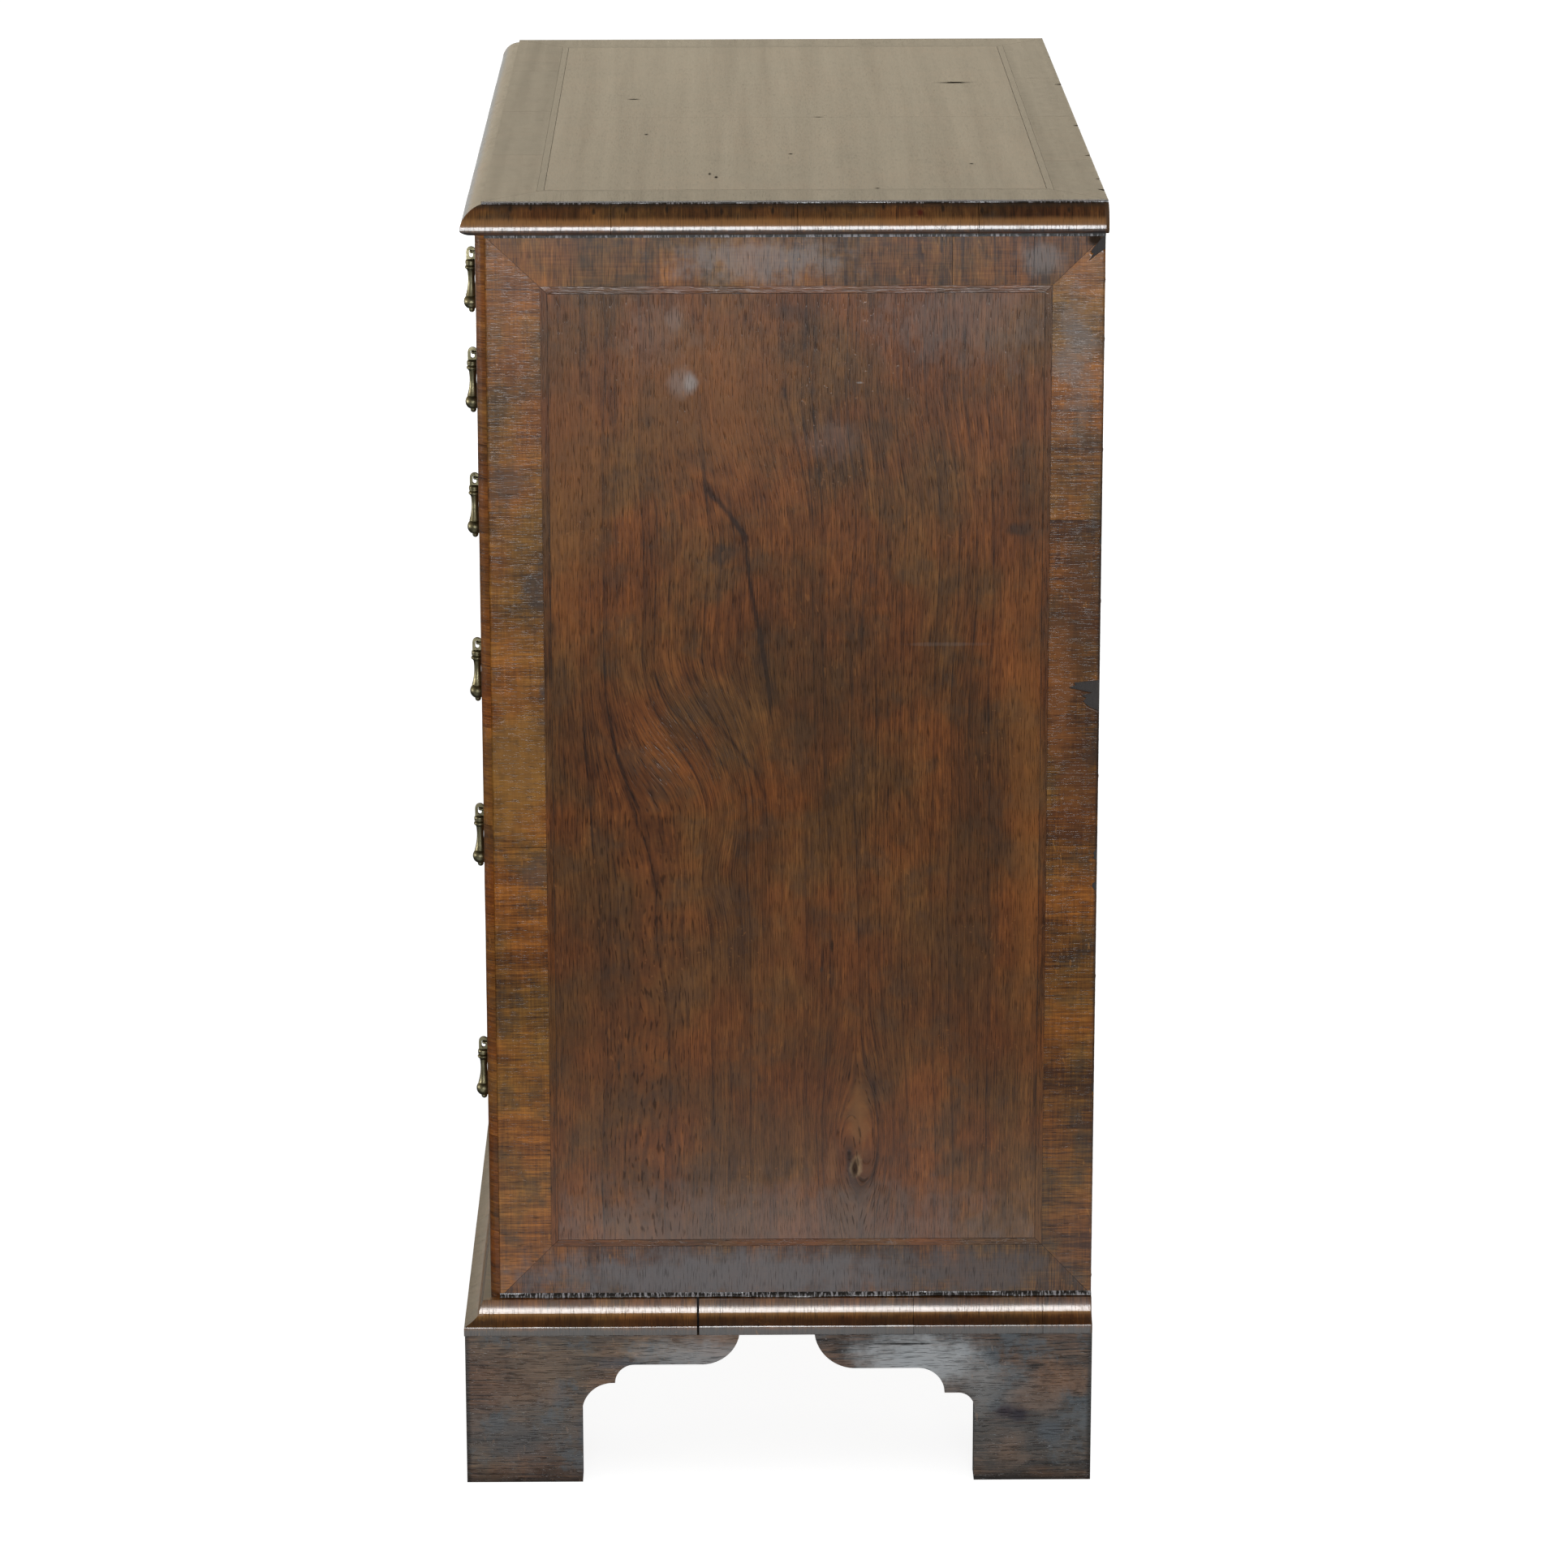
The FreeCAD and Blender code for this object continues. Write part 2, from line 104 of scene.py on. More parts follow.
# %% Grids, sheets and lofts
def grid_faces(number):
    """Four-cornered faces between neighbours of a grid of numbered corners."""
    faces = np.stack([number[:-1, :-1], number[1:, :-1], number[1:, 1:], number[:-1, 1:]], -1)
    return faces.reshape(-1, 4)


def sheet(surface, drop):
    """A closed sheet: the surface, the same grid moved by drop, and a wall round the rim."""
    count = surface.shape[0] * surface.shape[1]
    number = np.arange(count).reshape(surface.shape[:2])
    rim = np.concatenate([number[0, :-1], number[:-1, -1], number[-1, :0:-1], number[:0:-1, 0]])
    after = np.roll(rim, -1)
    wall = np.stack([rim, after, after + count, rim + count], -1)
    under = grid_faces(number + count)[:, ::-1]
    points = np.concatenate([surface.reshape(-1, 3), (surface + drop).reshape(-1, 3)])
    return points, np.concatenate([grid_faces(number), under, wall]).tolist()


def loft(rings):
    """A closed solid through equal rings of corners: a skin from ring to ring and a cap at each end."""
    stations, corners = rings.shape[:2]
    number = np.arange(stations * corners).reshape(stations, corners)
    after = np.roll(number, -1, axis=1)
    skin = np.stack([number[:-1], number[1:], after[1:], after[:-1]], -1).reshape(-1, 4)
    caps = [number[0, ::-1].tolist(), number[-1].tolist()]
    return rings.reshape(-1, 3), skin.tolist() + caps


def unevenness(points, size, seed, waves=7):
    """Smooth unevenness of about -1 to 1: the mean of sine waves that run in random directions,
    with wavelengths near size."""
    random = np.random.default_rng(seed)
    total = np.zeros(points.shape[:-1])
    for _ in range(waves):
        direction = random.normal(size=3)
        direction *= 2 * math.pi / (np.linalg.norm(direction) * size * random.uniform(0.6, 1.7))
        total += np.sin(points @ direction + random.uniform(0, 2 * math.pi))
    return total * 1.6 / waves


trial = sheet(np.zeros((3, 4, 3)), np.array([0, 0, MM]))
print("a sheet of 3 by 4 corners:", len(trial[0]), "points,", len(trial[1]), "faces")

# %% [markdown]
# ## Putting a piece on the bench
#
# Several loose solids often make one piece, such as the four strips of a border. They are joined
# here into one mesh, their faces are turned outwards, and the piece is told which part of the
# chest it moves with and is given its finish.

# %% Make a piece
made = []


def make_piece(name, parts, body, slot, finish, smooth=0):
    """One object from parts, each a tuple of corners, faces, places in the wood and a leaf tone.
    Edges sharper than smooth degrees stay crisp, and 0 leaves every face flat."""
    starts = np.cumsum([0] + [len(part[0]) for part in parts[:-1]]).tolist()
    points = np.concatenate([part[0] for part in parts])
    faces = [[start + corner for corner in face] for start, part in zip(starts, parts) for face in part[1]]
    mesh = bpy.data.meshes.new(name)
    mesh.from_pydata(points.tolist(), [], faces)
    shell = bmesh.new()
    shell.from_mesh(mesh)
    bmesh.ops.recalc_face_normals(shell, faces=shell.faces)
    shell.to_mesh(mesh)
    shell.free()
    grain = np.concatenate([part[2] for part in parts]).astype(np.float32)
    tone = np.concatenate([np.full(len(part[0]), part[3]) for part in parts]).astype(np.float32)
    mesh.attributes.new("grain", "FLOAT_VECTOR", "POINT").data.foreach_set("vector", grain.ravel())
    mesh.attributes.new("leaf", "FLOAT", "POINT").data.foreach_set("value", tone)
    if smooth:
        mesh.shade_smooth()
        mesh.set_sharp_from_angle(angle=math.radians(smooth))
    piece = bpy.data.objects.new(name, mesh)
    bpy.context.scene.collection.objects.link(piece)
    mesh.materials.append(finish)
    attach(piece, body)
    made.append(name)
    return piece


print("pieces made so far:", len(made))

# %% [markdown]
# ## A shorthand for finishes
#
# A finish is a tree of small nodes. Typing each one out hides the idea, so a Value stands for what
# flows along one wire, and arithmetic on values lays the nodes that work it out. A few helpers name
# what comes up again and again: mixing two colours, cloudy noise, a soft step and a named group.
# Colours are written as red, green and blue, in thousandths of full light.

# %% Node shorthand
def paint(colour):
    """A colour as Blender takes it, from thousandths."""
    return *[channel / 1000 for channel in colour], 1.0


def put(tree, kind, inputs, out=0, **settings):
    """Adds one node with its settings and inputs: a value becomes a link, anything else a constant.
    Returns the value of one output."""
    node = tree.nodes.new("ShaderNode" + kind)
    for key, setting in settings.items():
        setattr(node, key, setting)
    for key, given in inputs.items():
        socket = node.inputs[key]
        if isinstance(given, Value):
            tree.links.new(given.socket, socket)
        else:
            socket.default_value = paint(given) if socket.type == "RGBA" else given
    return Value(node.outputs[out]) if node.outputs else None


def calc(operation, *given, out=0):
    """One step of arithmetic, on vectors where one of the given is a vector."""
    sockets = [value.socket for value in given if isinstance(value, Value)]
    kind = "VectorMath" if "VECTOR" in [socket.type for socket in sockets] else "Math"
    return put(sockets[0].id_data, kind, dict(enumerate(given)), out, operation=operation)


class Value:
    """What flows along one wire of a finish: a number, or a vector, which also works with triples."""

    def __init__(self, socket):
        self.socket, self.tree = socket, socket.id_data

    def __add__(self, other):
        return calc("ADD", self, other)

    def __sub__(self, other):
        return calc("SUBTRACT", self, other)

    def __rsub__(self, other):
        return calc("SUBTRACT", other, self)

    def __mul__(self, other):
        return calc("MULTIPLY", self, other)

    def __truediv__(self, other):
        return calc("DIVIDE", self, other)

    def __rtruediv__(self, other):
        return calc("DIVIDE", other, self)

    def split(self):
        """The three numbers of a vector."""
        first = put(self.tree, "SeparateXYZ", {0: self})
        return [Value(socket) for socket in first.socket.node.outputs]


def bell(value):
    """A bell curve: the exponential of minus the square of a number."""
    return calc("EXPONENT", value * value * -1.0)


def sideways(value):
    """The vector that moves a place across the grain."""
    return put(value.tree, "CombineXYZ", {"Y": value})


def tint(amount, first, second, blend="MIX"):
    """The first colour, with the second laid over it by the amount."""
    inputs = {0: amount, 6: first, 7: second}
    tree = next(given.tree for given in inputs.values() if isinstance(given, Value))
    return put(tree, "Mix", inputs, 2, data_type="RGBA", blend_type=blend)


def cloud(place, scale=1.0, detail=2.0, rough=0.5):
    """Cloudy noise from 0 to 1, scale lumps to the metre."""
    inputs = {"Vector": place, "Scale": scale, "Detail": detail, "Roughness": rough}
    return put(place.tree, "TexNoise", inputs, "Fac")


def step(value, low, high, start=0.0, end=1.0, curve="SMOOTHSTEP"):
    """A soft step: start below low, end above high, and a smooth rise between them."""
    inputs = {"Value": value, "From Min": low, "From Max": high, "To Min": start, "To Max": end}
    return put(value.tree, "MapRange", inputs, "Result", interpolation_type=curve)


def start_group(name, **defaults):
    """An empty node group with an input for each default, and its inputs as values."""
    group = bpy.data.node_groups.new(name, "ShaderNodeTree")
    for label, default in defaults.items():
        kind = "NodeSocketVector" if isinstance(default, tuple) else "NodeSocketFloat"
        group.interface.new_socket(label, in_out="INPUT", socket_type=kind).default_value = default
    entry = group.nodes.new("NodeGroupInput")
    return group, *[Value(entry.outputs[label]) for label in defaults]


def end_group(group, **results):
    """Names the outputs of a group, and wires a value to each."""
    for label in results:
        group.interface.new_socket(label, in_out="OUTPUT", socket_type="NodeSocketFloat")
    leave = group.nodes.new("NodeGroupOutput")
    for label, value in results.items():
        group.links.new(value.socket, leave.inputs[label])
    print("group", group.name, "has", len(group.nodes), "nodes")


def use(group, tree, **inputs):
    """Places a node group in a finish, and returns its outputs by name."""
    first = put(tree, "Group", inputs, node_tree=group)
    return {socket.name: Value(socket) for socket in first.socket.node.outputs}


def start_finish(name):
    """A new finish: itself, its empty node tree, and the place on the chest as a value."""
    finish = bpy.data.materials.new(name)
    finish.use_nodes = True
    finish.node_tree.nodes.clear()
    return finish, finish.node_tree, put(finish.node_tree, "TexCoord", {}, "Object")


def end_finish(tree, inputs):
    """The skin of a finish, with the given inputs."""
    put(tree, "OutputMaterial", {"Surface": put(tree, "BsdfPrincipled", inputs)})


print("helpers ready:", [helper.__name__ for helper in (put, calc, tint, cloud, step, use)])

# %% [markdown]
# ## Grain
#
# Walnut shows several things at once: broad light and dark bands, thin late-wood lines, fine fibres,
# and open pores like pencil dashes. All are drawn out along the grain, and a slow wobble bends them
# together. The lines are a saw-tooth across the grain, dark on one side and fading on the other.
# Because the noise is solid, a board's end shows its rings end-on without any extra work.

# %% The grain group
grain_group, wood, ring, wave = start_group("grain", Wood=(0, 0, 0), Ring=0.006, Wave=0.004)
slow = cloud(wood * (3, 8, 8)) - 0.5
quick = cloud(wood * (15, 60, 60)) - 0.5
bent = wood + sideways((quick * 0.3 + slow) * wave)
per_ring = 0.55 / ring
spread = put(grain_group, "CombineXYZ", {"X": 1.4, "Y": per_ring, "Z": per_ring})
along, across, into = bent.split()
count = slow * 3.0 + (into * 0.4 + across) / ring
saw = calc("FRACT", count)
edges = calc("MAXIMUM", calc("EXPONENT", saw * -5.0), calc("EXPONENT", (1.0 - saw) * -22.0))
strong = put(grain_group, "TexWhiteNoise", {"W": calc("FLOOR", count)}, "Value", noise_dimensions="1D")
end_group(grain_group,
          Rings=step(cloud(bent * spread, 1.0, 3.0, 0.62), 0.28, 0.72),
          Lines=edges * step(strong, 0.25, 1.0),
          Fibres=cloud(bent * (38, 1150, 1150), 1.0, 2.0, 0.6),
          Pores=step(cloud(bent * (110, 1900, 1900), 1.0, 1.0), 0.56, 0.70),
          Mottle=cloud(wood * (60, 150, 150), 1.0, 4.0, 0.65),
          Clouds=step(cloud(wood * (9, 20, 20), 1.0, 3.0, 0.55), 0.3, 0.7))

# %% [markdown]
# ## Sweeps and pushes
#
# Where the tree had a limb, the grain sweeps aside. The sweep group moves the place across the grain
# between two heights, most at its middle line. The push group does so only round a centre.

# %% Sweep and push groups
push_group, wood, centre, reach, amount = start_group(
    "push", Wood=(0, 0, 0), Centre=(0, 0, 0), Reach=(1, 1, 1), Amount=0.0)
away = (wood - centre) / reach
square = calc("DOT_PRODUCT", away, away, out="Value")
end_group(push_group, Shift=calc("EXPONENT", square * -1.0) * amount)

sweep_group, wood, start, end, middle, reach, amount = start_group(
    "sweep", Wood=(0, 0, 0), From=0.0, To=1.0, Middle=0.0, Reach=1.0, Amount=0.0)
along, across, into = wood.split()
end_group(sweep_group, Shift=bell((across - middle) / reach) * step(along, start, end) * amount)

# %% [markdown]
# ## Strokes, stains and scratches
#
# A stroke is one dark line of figure, S-shaped from a start to an end. A stain is an oval whose rim
# a shared noise makes ragged. Scratches are long thin noise, turned a few ways and kept in patches.

# %% Stroke, stain and scratch groups
stroke_group, place, start_y, start_z, end_y, end_z, width, rim = start_group(
    "stroke", Place=(0, 0, 0), StartY=0.0, StartZ=1.0, EndY=0.0, EndZ=0.0, Width=0.001, Rim=0.0)
x, y, z = place.split()
course = step(z, start_z, end_z) * (end_y - start_y) + start_y
share = step(z, start_z, end_z, curve="LINEAR")
end_group(stroke_group, Mask=bell((y - course) / width + rim * 3.0) * step(share * (1.0 - share), 0.0, 0.12))

stain_group, place, centre, reach, rim = start_group(
    "stain", Place=(0, 0, 0), Centre=(0, 0, 0), Reach=(1, 1, 1), Rim=0.0)
far = calc("LENGTH", (place - centre) / reach, out="Value") + rim
end_group(stain_group, Mask=step(far, 0.25, 1.0, 1.0, 0.0))

scratch_group, place, lines = start_group("scratches", Place=(0, 0, 0), Lines=400.0)
masks = []
for angle, offset in ((0.35, 0.0), (1.2, 3.0), (2.5, 7.0)):
    turned = put(scratch_group, "Mapping", {"Vector": place, "Location": (offset, offset, offset),
                                            "Rotation": (angle, angle * 0.5, angle)})
    kept = step(cloud(turned, 14.0, 1.0), 0.55, 0.66)
    masks.append(step(cloud(turned * (0.03, 1, 1), lines, 1.0), 0.69, 0.74) * kept)
end_group(scratch_group, Mask=calc("MAXIMUM", calc("MAXIMUM", masks[0], masks[1]), masks[2]))

# %% [markdown]
# ## Polished walnut
#
# One function makes every walnut finish on the chest. A tone is added up from rings, lines, mottle
# and fibres, each leaf of veneer starts from its own, and the tone picks a colour from dark to light.
# The hue wanders between red and olive, pores stay dark with old wax, soot sits in patches, and stains
# are painted over in turn; on the mouldings and feet some of those ovals are painted light and shade.
# The polish is a thin clear coat, duller along pores and deep stains.

# %% The walnut finish
THROUGH = 0.9


def three_colours(tone, dark, middle, light):
    """The colour of a tone from 0 to 1, through three stops."""
    picked = put(tone.tree, "ValToRGB", {"Fac": calc("MAXIMUM", tone, 0.0)}, "Color")
    stops = picked.socket.node.color_ramp.elements
    stops[0].color = paint(dark)
    stops[1].color = paint(light)
    stops.new(0.5).color = paint(middle)
    return picked


def walnut(name, dark, middle, light, ring=6, wave=8, lines=0.45, pushes=(), sweeps=(), strokes=(),
           stains=(), soot=0.25, gloss=0.06, rough=0.42, coat=0.6, coat_rough=0.13, pore_depth=0.06,
           weave=0.0, haze=0.0, soot_colour=(48, 30, 22)):
    """A polished walnut finish. ring and wave are in millimetres. A push is (along, across) of its
    centre, its reach both ways, and the move. A sweep is the heights it starts and ends at, its middle
    line, its reach and the move. A stroke is its start and end (Y, Z), width and strength. A stain
    is its centre, its reach along X, Y and Z, a colour, a strength, and how ragged its rim is.
    A stain as strong as THROUGH goes through the polish. weave adds the fine marks a plane leaves square
    to the grain, and haze makes the polish streaky."""
    finish, tree, place = start_finish(name)
    wood = put(tree, "Attribute", {}, "Vector", attribute_name="grain")
    bent = wood
    for centre, reach, amount in pushes:
        bent += sideways(use(push_group, tree, Wood=wood, Centre=(*centre, 0), Reach=(*reach, 10),
                             Amount=amount)["Shift"])
    for start, end, centre, reach, amount in sweeps:
        bent += sideways(use(sweep_group, tree, Wood=wood, From=start, To=end, Middle=centre,
                             Reach=reach, Amount=amount)["Shift"])
    grain = use(grain_group, tree, Wood=bent, Ring=ring * MM, Wave=wave * MM)
    rim = cloud(place, 75.0, 4.0, 0.62) - 0.5

    tone = put(tree, "Attribute", {}, "Fac", attribute_name="leaf")
    for part, share in (("Rings", 0.22), ("Mottle", 0.80), ("Fibres", 1.25), ("Clouds", 0.30)):
        tone += (grain[part] - 0.5) * share
    if weave:
        tone += (cloud(wood * (900, 40, 40), 1.0, 2.0, 0.6) - 0.5) * weave
    tone -= grain["Lines"] * lines
    for (start_y, start_z), (end_y, end_z), width, strength in strokes:
        tone -= use(stroke_group, tree, Place=place, StartY=start_y, StartZ=start_z, EndY=end_y, EndZ=end_z,
                    Width=width, Rim=rim)["Mask"] * strength
    colour = three_colours(tone, dark, middle, light)
    hue = step(cloud(place, 17.0, 4.0, 0.6), 0.36, 0.64)
    colour = tint(1.0, colour, tint(hue, (1180, 950, 760), (930, 1020, 1000)), "MULTIPLY")
    patches = step(cloud(place, 34.0, 5.0, 0.68), 0.52, 0.64) * soot
    colour = tint(patches, colour, soot_colour)
    whole = 1.0
    # Stains are laid in turn; on the mouldings and feet some of them are painted light and shade.
    for centre, reach, stain, strength, ragged in stains:
        mask = use(stain_group, tree, Place=place, Centre=centre, Reach=reach,
                   Rim=rim * (ragged * 2))["Mask"]
        colour = tint(mask * strength, colour, stain)
        if strength >= THROUGH:
            whole = calc("MAXIMUM", whole - mask, 0.0)
    colour = tint(grain["Pores"] * 0.6, colour, [channel * 0.22 for channel in dark])
    scratches = use(scratch_group, tree, Place=place, Lines=420.0)["Mask"]
    colour = tint(scratches * 0.18, colour, [channel * 1.7 for channel in light])

    height = grain["Fibres"] * 0.9 - grain["Pores"] - scratches * 0.2 + grain["Mottle"] * 0.9
    bump = put(tree, "Bump", {"Height": height, "Strength": 1.0, "Distance": pore_depth * MM})
    polish = coat - grain["Pores"] * (0.4 * coat)
    if haze:
        polish += (cloud(place * (1.6, 70, 70), 1.0, 4.0, 0.65) - 0.5) * haze
    end_finish(tree, {"Base Color": colour, "Roughness": patches * 0.15 + rough, "Normal": bump,
                      "Coat Normal": bump, "Coat Weight": polish * whole, "Coat Roughness": coat_rough,
                      "Specular IOR Level": gloss if whole == 1.0 else whole * gloss})
    return finish


GREY, BLOT, ORANGE = (160, 125, 110), (26, 18, 13), (245, 88, 18)
print("a walnut finish draws on the groups", [group.name for group in bpy.data.node_groups])

# %% [markdown]
# ## The figure on the sides
#
# The two big sheets on each side were cut where a limb left the trunk: the lines drift right as they
# come down the middle, crowd together there, and run straight again below. One S-shaped line stands
# out above them. Figure is drawn in metres, as (Y, Z) on the side.

# %% Figure of the side veneers
SIDE_WOOD = ((26, 10.5, 4.5), (102, 39, 11), (208, 82, 21.5))
side_sweeps = [(0.530, 0.425, -0.050, 0.048, -0.036), (0.690, 0.590, -0.010, 0.050, -0.014),
               (0.700, 0.600, 0.090, 0.040, -0.010)]
side_pushes = [((0.388, -0.035), (0.022, 0.014), 0.006), ((0.215, 0.036), (0.055, 0.015), 0.012),
               ((0.215, 0.060), (0.055, 0.015), -0.012), ((0.480, 0.110), (0.060, 0.030), 0.006)]
side_strokes = [
    ((-0.0470, 0.690), (-0.0430, 0.618), 0.0010, 0.45), ((-0.0425, 0.634), (-0.0195, 0.594), 0.0021, 0.62),
    ((-0.0200, 0.608), (-0.0045, 0.480), 0.0013, 0.48), ((-0.0740, 0.520), (-0.0180, 0.425), 0.0018, 0.24),
    ((-0.0560, 0.522), (-0.0080, 0.432), 0.0015, 0.24), ((-0.1010, 0.490), (-0.0760, 0.375), 0.0015, 0.22),
    ((-0.0880, 0.500), (-0.0660, 0.385), 0.0012, 0.20), ((0.0040, 0.700), (0.0200, 0.600), 0.0013, 0.35),
]
print("sweeps, pushes and strokes:", len(side_sweeps), len(side_pushes), len(side_strokes))

# %% [markdown]
# The stains on the sides are where use put them: rubbed bruises near the top, dark blots, a pale scar
# with a small knot low down, and the grey bloom that old polish gets near the edges. Broad soft ones
# come first, in orange and umber, because they stand for the tree's own change of colour.

# %% Stains of the two sides
UMBER, BRUISE = (44, 21, 8.5), (260, 225, 205)


def on_side(x, rows):
    """Stains on a side face: a row is the place (Y, Z) and the reach both ways in millimetres, the
    colour, the strength and how ragged the rim is."""
    return [((x, y * MM, z * MM), (1, long * MM, tall * MM), colour, strength, ragged)
            for y, z, long, tall, colour, strength, ragged in rows]


right_stains = on_side(face_x, (
    (-125, 640, 30, 130, ORANGE, 0.32, 0.5), (-40, 690, 85, 80, ORANGE, 0.28, 0.9),
    (150, 420, 13, 220, ORANGE, 0.30, 0.4), (25, 505, 45, 110, UMBER, 0.45, 0.9),
    (115, 380, 26, 160, UMBER, 0.50, 0.5), (-110, 300, 45, 150, UMBER, 0.35, 0.6),
    (110, 728, 65, 35, GREY, 0.30, 0.9), (32, 658, 26, 19, GREY, 0.24, 0.6),
    (-72, 722, 30, 26, GREY, 0.20, 1.0), (-10, 150, 230, 55, GREY, 0.42, 0.5),
    (-51.5, 692.1, 5.5, 9.5, BRUISE, 0.75, 0.5), (-57, 692.1, 12, 12, BRUISE, 0.32, 0.4),
    (-61.3, 730.6, 6.5, 9.5, BRUISE, 0.24, 0.5), (48.5, 691.8, 3, 0.9, BRUISE, 0.90, 0.5),
    (-34, 588, 11, 9, BLOT, 0.65, 1.0), (29, 652, 3.5, 5, BLOT, 0.50, 1.0),
    (56, 575, 4, 11, BLOT, 0.50, 1.0), (8, 735, 14, 7, BLOT, 0.40, 1.4),
    (143.4, 602.5, 10, 6, BLOT, 0.65, 0.8), (49, 232, 9, 30, (200, 90, 28), 0.55, 0.7),
    (33, 203, 5, 18, (200, 80, 26), 0.50, 0.7), (48, 201, 4.5, 9, (300, 200, 100), 0.60, 0.9),
    (46.8, 200, 2.2, 7.5, BLOT, 0.95, 0.9), (32.6, 343.5, 1.6, 6, BLOT, 0.90, 0.9),
    (26.2, 328, 1.8, 3.2, BLOT, 0.80, 0.9), (100, 532, 34, 1.6, GREY, 0.20, 0.5),
    (0, 280, 250, 170, (95, 46, 34), 0.18, 0.3), (-98, 266, 1.4, 6, BLOT, 0.80, 0.5)))
left_stains = on_side(-face_x, (
    (55, 530, 50, 120, UMBER, 0.40, 1.0), (-80, 330, 8, 6, BRUISE, 0.35, 0.7),
    (120, 220, 6, 20, ORANGE, 0.35, 0.8), (-10, 150, 230, 55, GREY, 0.35, 0.5)))
side_field = walnut("side_field", *SIDE_WOOD, 6.5, 9, 0.42, side_pushes, side_sweeps, side_strokes,
                    right_stains)
left_field = walnut("left_field", *SIDE_WOOD, 6.5, 9, 0.42, side_pushes, side_sweeps, stains=left_stains)
print("stains on the right and the left:", len(right_stains), len(left_stains))

# %% [markdown]
# The borders and the narrow bands are a paler, more golden walnut. The border's stains are its own:
# grey at the head, soot along the foot, reddish leaves in the back upright, and black at the back edge.

# %% Finishes of the side borders and bands
BORDER_WOOD = ((38, 14, 5), (156, 64, 13), (320, 138, 26))
border_stains = on_side(face_x, (
    (-10, 766, 70, 17, (215, 180, 165), 0.55, 0.9), (156, 766, 20, 14, (170, 145, 135), 0.60, 0.6),
    (175, 715, 15, 40, GREY, 0.45, 0.9), (-30, 130, 190, 26, (105, 92, 92), 0.88, 0.6),
    (120, 132, 70, 22, (60, 46, 44), 0.75, 0.6), (179, 545, 19, 80, (66, 27, 10), 0.60, 0.9),
    (169, 500, 12, 60, (190, 68, 18), 0.55, 0.9), (179, 440, 19, 50, (120, 38, 10), 0.50, 0.6),
    (-156, 455, 26, 65, (340, 150, 30), 0.40, 0.9),
    (back_y / MM, 450, 2.4, 500, (22, 14, 10), 0.85, 0.3),
    (-142, 565, 13, 25, (40, 32, 28), 0.75, 1.5), (-139, 500, 8, 30, (50, 44, 44), 0.70, 1.5),
    (-162, 630, 16, 20, (70, 46, 32), 0.60, 1.4), (-144, 390, 13, 16, (60, 44, 36), 0.60, 1.4),
    (178, 700, 16, 45, (160, 120, 95), 0.45, 1.2), (187, 777, 6, 6, BLOT, 0.95, 0.5)))
side_border = walnut("side_border", *BORDER_WOOD, 7, 5, 0.25, stains=border_stains, soot=0.45, rough=0.45,
                     pore_depth=0.018, weave=0.6, soot_colour=(40, 28, 20))
band_finish = walnut("band_walnut", (30, 12, 5), (96, 37, 11), (170, 67, 19), 3, 1, 0.3)
print("walnut finishes:", [finish.name for finish in (side_field, left_field, side_border, band_finish)])

# %% [markdown]
# ## Cutting up the joiner's boards
#
# A node of the model can hold several boards, such as the two sides and the back of a drawer. Their
# triangles come one solid after another, so the list is cut wherever every edge met so far has
# been met once each way. Each board is then welded, its flat faces made whole again, and its
# arrises eased with a small bevel, as a century of hands does.

# %% Boards from a node
FINE = MM * 0.001


def solids_of(node):
    """The node's solids, each as merged corners and triangles. An edge counts +1 one way and -1 the
    other, so a stretch of the list is closed where every edge's running count is back at nought."""
    mesh = frame["nodes"][node].data
    points = np.zeros(len(mesh.vertices) * 3, np.float32)
    mesh.vertices.foreach_get("co", points)
    corners = np.zeros(len(mesh.loops), np.int64)
    mesh.loops.foreach_get("vertex_index", corners)
    whole, same = np.unique(np.round(points.reshape(-1, 3) / FINE), axis=0, return_inverse=True)
    triangles = same.reshape(-1)[corners].reshape(-1, 3)
    ends = np.stack([triangles, np.roll(triangles, -1, axis=1)], -1).reshape(-1, 2)
    turn = np.repeat(np.arange(len(triangles)), 3)
    key = ends.min(axis=1) * len(whole) + ends.max(axis=1)
    order = np.lexsort((turn, key))
    running = np.cumsum(np.where(ends[:, 0] < ends[:, 1], 1, -1)[order])
    still_open = running[:-1] != 0
    change = np.zeros(len(triangles) + 1, int)
    np.add.at(change, turn[order][:-1][still_open] + 1, 1)
    np.add.at(change, turn[order][1:][still_open] + 1, -1)
    cuts = [0] + [int(c) for c in np.nonzero(np.cumsum(change) == 0)[0] if 0 < c < len(triangles)]
    solids = []
    for start, end in zip(cuts, cuts[1:] + [len(triangles)]):
        used, faces = np.unique(triangles[start:end], return_inverse=True)
        solids.append((whole[used] * FINE, faces.reshape(-1, 3)))
    return solids


def eased(points, faces, ease):
    """A solid with its flat faces whole and its sharp edges bevelled by ease."""
    shell = bmesh.new()
    corners = [shell.verts.new(point) for point in points.tolist()]
    for face in faces.tolist():
        shell.faces.new([corners[i] for i in face])
    bmesh.ops.dissolve_limit(shell, angle_limit=math.radians(0.5), verts=shell.verts, edges=shell.edges)
    sharp = [edge for edge in shell.edges if edge.calc_face_angle(0) > math.radians(30)]
    bmesh.ops.bevel(shell, geom=sharp, offset=ease, segments=2, profile=0.6, affect="EDGES",
                    clamp_overlap=True)
    shell.verts.ensure_lookup_table()
    eased_points = np.array([vertex.co for vertex in shell.verts])
    listed = [[vertex.index for vertex in face.verts] for face in shell.faces]
    shell.free()
    return eased_points, listed


